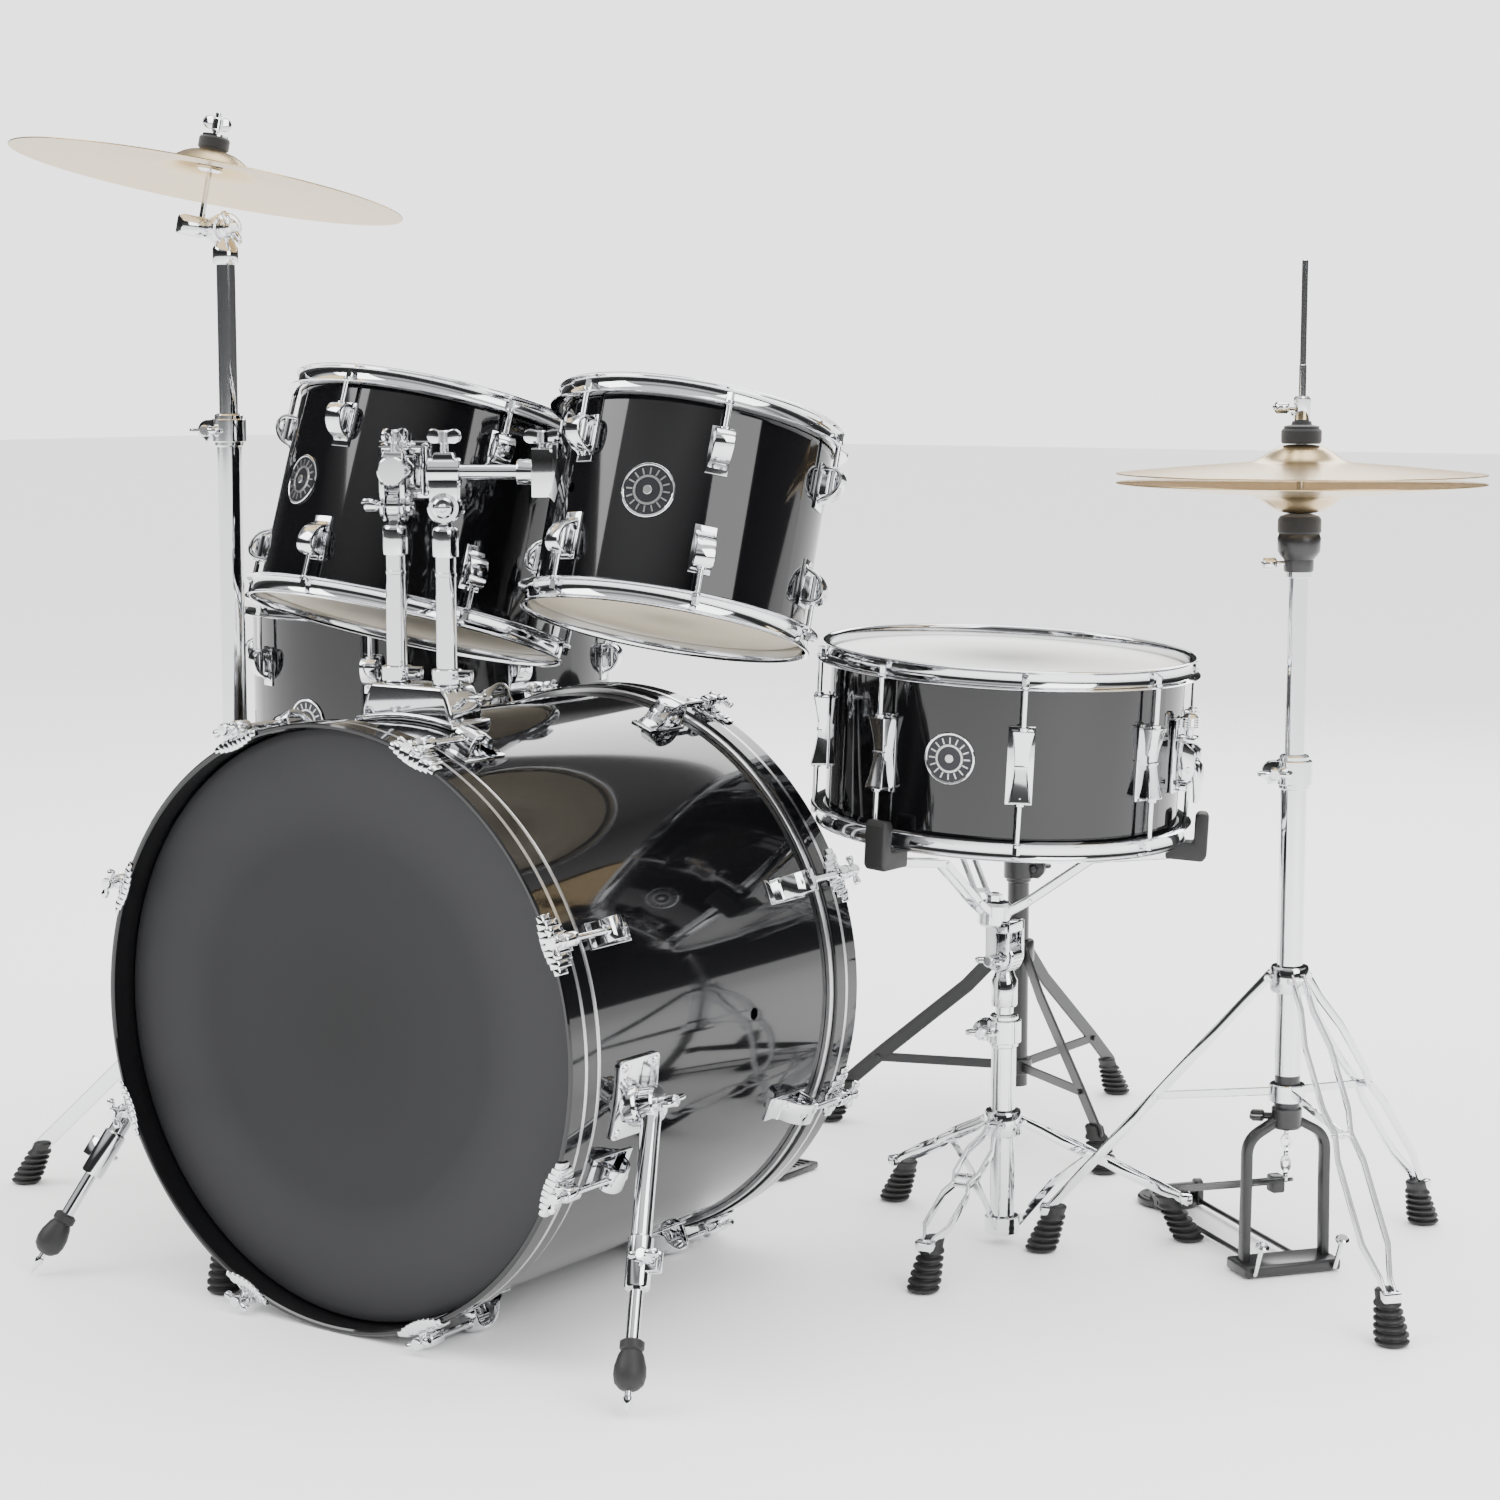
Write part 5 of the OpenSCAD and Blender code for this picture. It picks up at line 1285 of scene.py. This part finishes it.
class DRUMKIT_OT_crash(bpy.types.Operator):
    """Crash cymbal with its tilter, felts, wing nut and upper tube"""
    bl_idname = "drumkit.crash"
    bl_label = "Crash cymbal"

    def execute(self, context):
        spin, tilt = joint("crash_spin"), joint("crash_tilt")
        base = Vector(spin["pos_m"])
        way = Vector(spin["axis"]).normalized()
        rod_place = aimed(base / MM, (base + way) / MM)
        plate_place = rod_place @ shift(0, 0, 44)
        add_piece(put(cymbal(203.2, 15, 18), plate_place), "crash_plate",
                  bronze("crash_bronze", plate_place), "crash_cymbal", "crash_cymbal", slot="bronze",
                  angle=50)
        rod = pin((0, 0, -4), (0, 0, 118), 3, 20, 1)
        cup = turned([(0, 56), (9, 56), (13, 58), (13, 61), (0, 61)], 32)
        wing = put(wing_bolt(2, 15, 4), shift(0, 0, 97) @ turn("Y", -90))
        washer = ring([(4.8, 92.4), (13, 92.4), (13, 94.4), (4.8, 94.4)], 32)
        top = joined(rod, cup, washer, wing)
        put(top, rod_place)
        felts = joined(ring([(3.4, 61.5), (12.5, 61.5), (13.5, 63), (13.5, 73), (12.5, 75), (3.4, 75)], 36),
                       ring([(3.4, 79), (14.5, 79), (16, 80.5), (16, 90), (14.5, 92), (3.4, 92)], 36))
        add_piece(put(felts, rod_place), "crash_felts", black_felt(), "crash_tilter", slot="rubber")
        hinge = Vector(tilt["pos_m"])
        across = Vector(tilt["axis"]).normalized()
        head = aimed(hinge / MM, (hinge + across) / MM)
        barrel = turned([(0, -34), (12, -34), (14, -32), (14, -9.6), (13, -8.4), (0, -8.4)], 36)
        teeth = repeated(block((1.4, 1.4, 6), (14, 0, -13), 0.3), around(24))
        bolt = pin((0, 0, -10), (0, 0, 26), 4, 20)
        nut = turned([(0, 9), (9, 9), (10, 10), (10, 15), (8, 17), (0, 17)], 28)
        handle = put(wing_bolt(4, 19, 4), shift(0, 0, 15) @ turn("Y", -90) @ turn("X", 30))
        swing = put(joined(barrel, teeth, bolt, nut, handle), head)
        link = block((22, 30, 20), (0, 8, -2), 3, 2)
        put(link, rod_place)
        chromed(joined(top, swing, link), "crash_tilter_head", "crash_tilter", "crash_tilter")
        stand = floor_frame("crash_upper_tube")
        tube = turned([(0, 640), (9.5, 640), (9.5, 1003), (12, 1004), (13, 1006), (13, 1020), (11, 1023),
                       (9, 1030), (0, 1030)], 40)
        put(tube, stand)
        knuckle = put(ring([(4.2, -7.8), (14.6, -7.8), (16, -6.4), (16, 6.4), (14.6, 7.8), (4.2, 7.8)],
                           40), head)
        chromed(joined(tube, knuckle), "crash_stand_upper_tube", "crash_tube", "crash_upper_tube")
        return {"FINISHED"}


# ---------- stool ----------

class DRUMKIT_OT_stool(bpy.types.Operator):
    """Padded round seat with piping and its post"""
    bl_idname = "drumkit.stool"
    bl_label = "Stool"

    def execute(self, context):
        place = floor_frame("throne_seat")
        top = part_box("throne_seat")[1].z / MM
        r = size("seat_radius")
        pad = turned([(0, top - 84), (r - 10, top - 84), (r - 2, top - 78), (r + 1, top - 66),
                      (r + 1, top - 40), (r - 3, top - 26), (r - 12, top - 14), (r - 34, top - 5),
                      (r - 70, top - 1.5), (0, top - 1)], 72)
        swell(pad, 8)
        put(pad, place)
        add_piece(pad, "stool_seat_pad", seat_vinyl(), "throne_seat", "throne_seat", slot="seat_vinyl",
                  angle=60)
        piping = []
        for z, rr in ((top - 76, r + 0.4), (top - 20, r - 4)):
            piping.append(ring([(rr + 2.6 * math.cos(a * math.pi / 4), z + 2.6 * math.sin(a * math.pi / 4))
                                for a in range(8)], 72))
        add_piece(put(joined(*piping), place), "stool_seat_piping", seat_vinyl(), "throne_seat",
                  slot="seat_vinyl")
        board = turned([(0, top - 90), (r - 14, top - 90), (r - 12, top - 88), (r - 12, top - 83),
                        (0, top - 83)], 64)
        cup = turned([(0, top - 97.4), (30, top - 97.4), (38, top - 94), (40, top - 90), (0, top - 90)], 40)
        blackened(put(joined(board, cup), place), "stool_seat_board", "throne_seat")
        post = turned([(0, 180), (9.5, 180), (9.5, top - 128), (15, top - 127), (16, top - 125),
                       (16, top - 108), (14, top - 106), (9.5, top - 105), (9.5, top - 98.2),
                       (0, top - 98.2)], 40)
        blackened(put(post, place), "stool_post", "throne_post", "throne_post")
        return {"FINISHED"}


def swell(pad, cap):
    """Blow the seat up as foam under its cover, and keep every point within cap mm."""
    select_only(pad)
    pad.data.remesh_voxel_size = 0.006
    bpy.ops.object.voxel_remesh()
    rest = [v.co.copy() for v in pad.data.vertices]
    low = min(v.z for v in rest)
    held = pad.vertex_groups.new(name="held")
    held.add([i for i, v in enumerate(rest) if v.z < low + 0.012], 1.0, "REPLACE")
    cloth = pad.modifiers.new("foam", "CLOTH")
    cloth.settings.use_pressure = True
    cloth.settings.uniform_pressure_force = 4
    cloth.settings.vertex_group_mass = "held"
    cloth.settings.effector_weights.gravity = 0
    scene = bpy.context.scene
    for step in range(1, 16):
        scene.frame_set(step)
    shape = pad.evaluated_get(bpy.context.evaluated_depsgraph_get()).data
    grown = [v.co.copy() for v in shape.vertices]
    pad.modifiers.remove(cloth)
    pad.vertex_groups.remove(held)
    for v, was, now in zip(pad.data.vertices, rest, grown):
        move = now - was
        if move.length > cap * MM:
            move *= cap * MM / move.length
        v.co = was + move * 0.5
    scene.frame_set(1)
    soften = pad.modifiers.new("soften", "SMOOTH")
    soften.iterations = 4
    select_only(pad)
    bpy.ops.object.modifier_apply(modifier=soften.name)


# ---------- bass drum pedal ----------

class DRUMKIT_OT_bass_pedal(bpy.types.Operator):
    """Bass drum pedal: posts, base, heel, board, axle, cam and beater"""
    bl_idname = "drumkit.bass_pedal"
    bl_label = "Bass drum pedal"

    def execute(self, context):
        axle_y, axle_z = 262, 150
        hy = (joint("bass_pedal")["pos_m"][1] - KIT.translation.y) / MM      # of the heel's hinge
        base = block((92, 46, 9), (0, 263, 4.7), 2)
        jaw = block((30, 46, 8), (0, 234, 12), 2)
        jaw_bolt = put(t_bolt(8, 26, 3), shift(0, 262, 14) @ turn("Y", -90))
        post = ([(axle_y - 9, 6), (axle_y + 9, 6), (axle_y + 6, axle_z - 6)]
                + arc((axle_y, axle_z), 10.5, -20, 200, 10) + [(axle_y - 6, axle_z - 6)])
        posts = [put(side_plate(post, 8, 1.4), turn("Z", 90) @ shift(0, s * 40, 0)) for s in BOTH]
        rods = [pin((s * 26, 280, 4), (s * 26, hy + 4, 4), 2.6, 14) for s in BOTH]
        plate = block((92, 72, 8), (0, hy + 24, 4.5), 2.4)
        ribs = [block((78, 2.2, 2), (0, hy + 14 + i * 9, 9), 0.6) for i in range(5)]
        ears = [block((8, 20, 32), (s * 30, hy, 16), 1.4) for s in BOTH]
        blackened(put(joined(base, jaw, jaw_bolt, *posts, *rods, plate, *ribs, *ears), KIT),
                  "bass_pedal_frame", "kit", "bass_pedal_base")
        deck = footboard((hy - 466, 84), (hy - 290, 24), 52, 46, KIT @ turn("Z", 90) @ shift(286, 0, 0))
        barrel = put(pin((-23, hy, 22), (23, hy, 22), 7.6, 24), KIT)
        axle = put(pin((-34, hy, 22), (34, hy, 22), 2.9, 16), KIT)
        toe_hook = put(block((16, 10, 14), (0, hy - 176, 88), 2), KIT)
        blackened(joined(deck, barrel, axle, toe_hook), "bass_pedal_board", "bass_footboard",
                  "bass_pedal_footboard")
        cross = put(turned([(0, -46), (5, -46), (5, -9), (9, -8), (9, 8), (5, 9), (5, 46), (0, 46)], 28),
                    shift(0, axle_y, axle_z) @ turn("Y", 90))
        cam = put(cut_plate(arc((0, 0), 21, -30, 150, 14) + arc((0, 0), 9, 150, 330, 8), 12, 1.2),
                  shift(-6, axle_y, axle_z) @ turn("Y", 90) @ turn("Z", 90))
        shaft = pin((5, axle_y, axle_z), (5, axle_y + 54, axle_z + 148), 3.5, 20)
        hub = block((16, 16, 20), (5, axle_y + 5, axle_z + 12), 2)
        chromed(put(joined(cross, cam, shaft, hub), KIT), "bass_pedal_axle", "bass_beater",
                "bass_pedal_beater")
        head = put(turned([(0, -20), (15, -20), (18, -17), (20, 0), (21.6, 12), (21, 19), (17, 22),
                           (0, 23)], 40), shift(5, axle_y + 49, axle_z + 135) @ turn("X", 55))
        add_piece(put(head, KIT), "bass_pedal_felt", grey_felt(), "bass_beater", slot="rubber")
        return {"FINISHED"}


# ---------- finishes of the frame's own parts, floor, light and camera ----------

class DRUMKIT_OT_frame_finishes(bpy.types.Operator):
    """Give the frame's own shells, tension rods and snare wires their finishes"""
    bl_idname = "drumkit.frame_finishes"
    bl_label = "Frame finishes"

    def execute(self, context):
        rows = [(lacquer(), ["bass_shell", "tom12_shell", "tom10_shell", "floor_tom_shell",
                             "snare_shell"]), (chrome(), ["tom12_rods", "tom10_rods", "floor_tom_rods",
                                                          "snare_rods"]), (wire_steel(), ["snare_wires"])]
        for material, nodes in rows:
            for node in nodes:
                for slot in frame["nodes"][node].material_slots:
                    slot.material = material
        return {"FINISHED"}


LIGHTS = (              # name, place, width, height, power
    ("key_light", (-2.6, -2.6, 3.4), 2.6, 2.2, 110),
    ("fill_light", (3.4, -1.2, 2.4), 2.2, 2.6, 90),
    ("top_light", (0.2, 0.6, 3.8), 3.4, 2.4, 90),
    ("rear_light", (-0.8, 3.8, 2.6), 3.0, 1.6, 90),
)
# Greys that gloss reflects, from straight down to straight up
ROOM = ((0.0, 0.05), (0.16, 0.01), (0.34, 0.02), (0.46, 0.36), (0.58, 0.08), (0.78, 0.45))
CAMERA_AZIMUTH, CAMERA_ELEVATION, CAMERA_DISTANCE, CAMERA_LENS = 34.762, 7.021, 2.8124, 73.5
CAMERA_TARGET = Vector((0.3162, 0, 0.5486))         # from the bass drum's middle on the floor


class DRUMKIT_OT_stage(bpy.types.Operator):
    """Pale floor, soft lights and the camera"""
    bl_idname = "drumkit.stage"
    bl_label = "Floor, lights and camera"

    def execute(self, context):
        select_only()
        bpy.ops.mesh.primitive_plane_add(size=60, location=(0, 0, -0.0006))
        floor = bpy.context.view_layer.objects.active
        floor.name = "studio_floor"
        bpy.ops.object.transform_apply(location=True, rotation=True, scale=True)
        floor.data.materials.append(finish("pale_floor", (0.93, 0.93, 0.93), 0, 0.9))
        for name, spot, wide, tall, power in LIGHTS:
            bpy.ops.object.light_add(type="AREA", location=spot)
            lamp = bpy.context.view_layer.objects.active
            lamp.name = name
            lamp.data.shape = "RECTANGLE"
            lamp.data.size, lamp.data.size_y = wide, tall
            lamp.data.energy = power
            lamp.rotation_euler = (Vector((0, 0, 0.5)) - Vector(spot)).to_track_quat("-Z", "Y").to_euler()
        self.sky(context)
        self.camera(context)
        return {"FINISHED"}

    def sky(self, context):
        world = context.scene.world or bpy.data.worlds.new("studio")
        context.scene.world = world
        world.use_nodes = True
        nodes, links = world.node_tree.nodes, world.node_tree.links
        nodes.clear()
        out = nodes.new("ShaderNodeOutputWorld")
        ground = nodes.new("ShaderNodeBackground")
        coords = nodes.new("ShaderNodeTexCoord")
        split = nodes.new("ShaderNodeSeparateXYZ")
        ramp = nodes.new("ShaderNodeValToRGB")
        for spot, grey in ROOM[2:]:
            ramp.color_ramp.elements.new(spot)
        for stop, (spot, grey) in zip(ramp.color_ramp.elements, ROOM):
            stop.position = spot
            stop.color = (grey, grey, grey, 1)
        path = nodes.new("ShaderNodeLightPath")
        pick = nodes.new("ShaderNodeMix")
        pick.data_type = "RGBA"
        pick.inputs["A"].default_value = (1, 1, 1, 1)
        links.new(coords.outputs["Generated"], split.inputs["Vector"])
        links.new(split.outputs["Z"], ramp.inputs["Fac"])
        links.new(path.outputs["Is Glossy Ray"], pick.inputs["Factor"])
        links.new(ramp.outputs["Color"], pick.inputs["B"])
        seen = nodes.new("ShaderNodeMix")
        seen.data_type = "RGBA"
        seen.inputs["B"].default_value = (1.15, 1.15, 1.15, 1)
        links.new(path.outputs["Is Camera Ray"], seen.inputs["Factor"])
        links.new(pick.outputs["Result"], seen.inputs["A"])
        links.new(seen.outputs["Result"], ground.inputs["Color"])
        ground.inputs["Strength"].default_value = 2.3
        links.new(ground.outputs["Background"], out.inputs["Surface"])

    def camera(self, context):
        azimuth, elevation = math.radians(CAMERA_AZIMUTH), math.radians(CAMERA_ELEVATION)
        level = math.cos(elevation)
        back = Vector((math.sin(azimuth) * level, -math.cos(azimuth) * level, math.sin(elevation)))
        bpy.ops.object.camera_add(location=KIT.translation + CAMERA_TARGET + back * CAMERA_DISTANCE)
        camera = bpy.context.view_layer.objects.active
        camera.name = "front_camera"
        camera.rotation_euler = (-back).to_track_quat("-Z", "Y").to_euler()
        camera.data.sensor_width = 36
        camera.data.lens = CAMERA_LENS
        camera.data.clip_end = 100
        context.scene.camera = camera


STEPS = (DRUMKIT_OT_frame_finishes, DRUMKIT_OT_bass_heads, DRUMKIT_OT_bass_hoops, DRUMKIT_OT_bass_tension,
         DRUMKIT_OT_spurs, DRUMKIT_OT_tom_mount, DRUMKIT_OT_tom_holders, DRUMKIT_OT_tom_hardware,
         DRUMKIT_OT_drum_ends, DRUMKIT_OT_floor_tom_legs, DRUMKIT_OT_snare_hardware,
         DRUMKIT_OT_snare_basket, DRUMKIT_OT_tripods, DRUMKIT_OT_lower_tubes, DRUMKIT_OT_hihat,
         DRUMKIT_OT_hihat_pedal, DRUMKIT_OT_crash, DRUMKIT_OT_stool, DRUMKIT_OT_bass_pedal,
         DRUMKIT_OT_stage)


class DRUMKIT_PT_sidebar(bpy.types.Panel):
    bl_idname = "DRUMKIT_PT_sidebar"
    bl_label = "Drum Kit"
    bl_space_type = "VIEW_3D"
    bl_region_type = "UI"
    bl_category = "Drum Kit"

    def draw(self, context):
        layout = self.layout
        for group in (context.scene.drum_kit_sizes, context.scene.drum_kit_colours):
            for name in group.__annotations__:
                layout.prop(group, name)
        for step in STEPS:
            layout.operator(step.bl_idname)


CLASSES = (DrumKitSizes, DrumKitColours, *STEPS, DRUMKIT_PT_sidebar)


def register():
    for item in CLASSES:
        bpy.utils.register_class(item)
    bpy.types.Scene.drum_kit_sizes = bpy.props.PointerProperty(type=DrumKitSizes)
    bpy.types.Scene.drum_kit_colours = bpy.props.PointerProperty(type=DrumKitColours)


def unregister():
    del bpy.types.Scene.drum_kit_colours
    del bpy.types.Scene.drum_kit_sizes
    for item in reversed(CLASSES):
        bpy.utils.unregister_class(item)


def main():
    register()
    for step in STEPS:
        group, call = step.bl_idname.split(".")
        getattr(getattr(bpy.ops, group), call)()


if __name__ == "__main__":
    main()
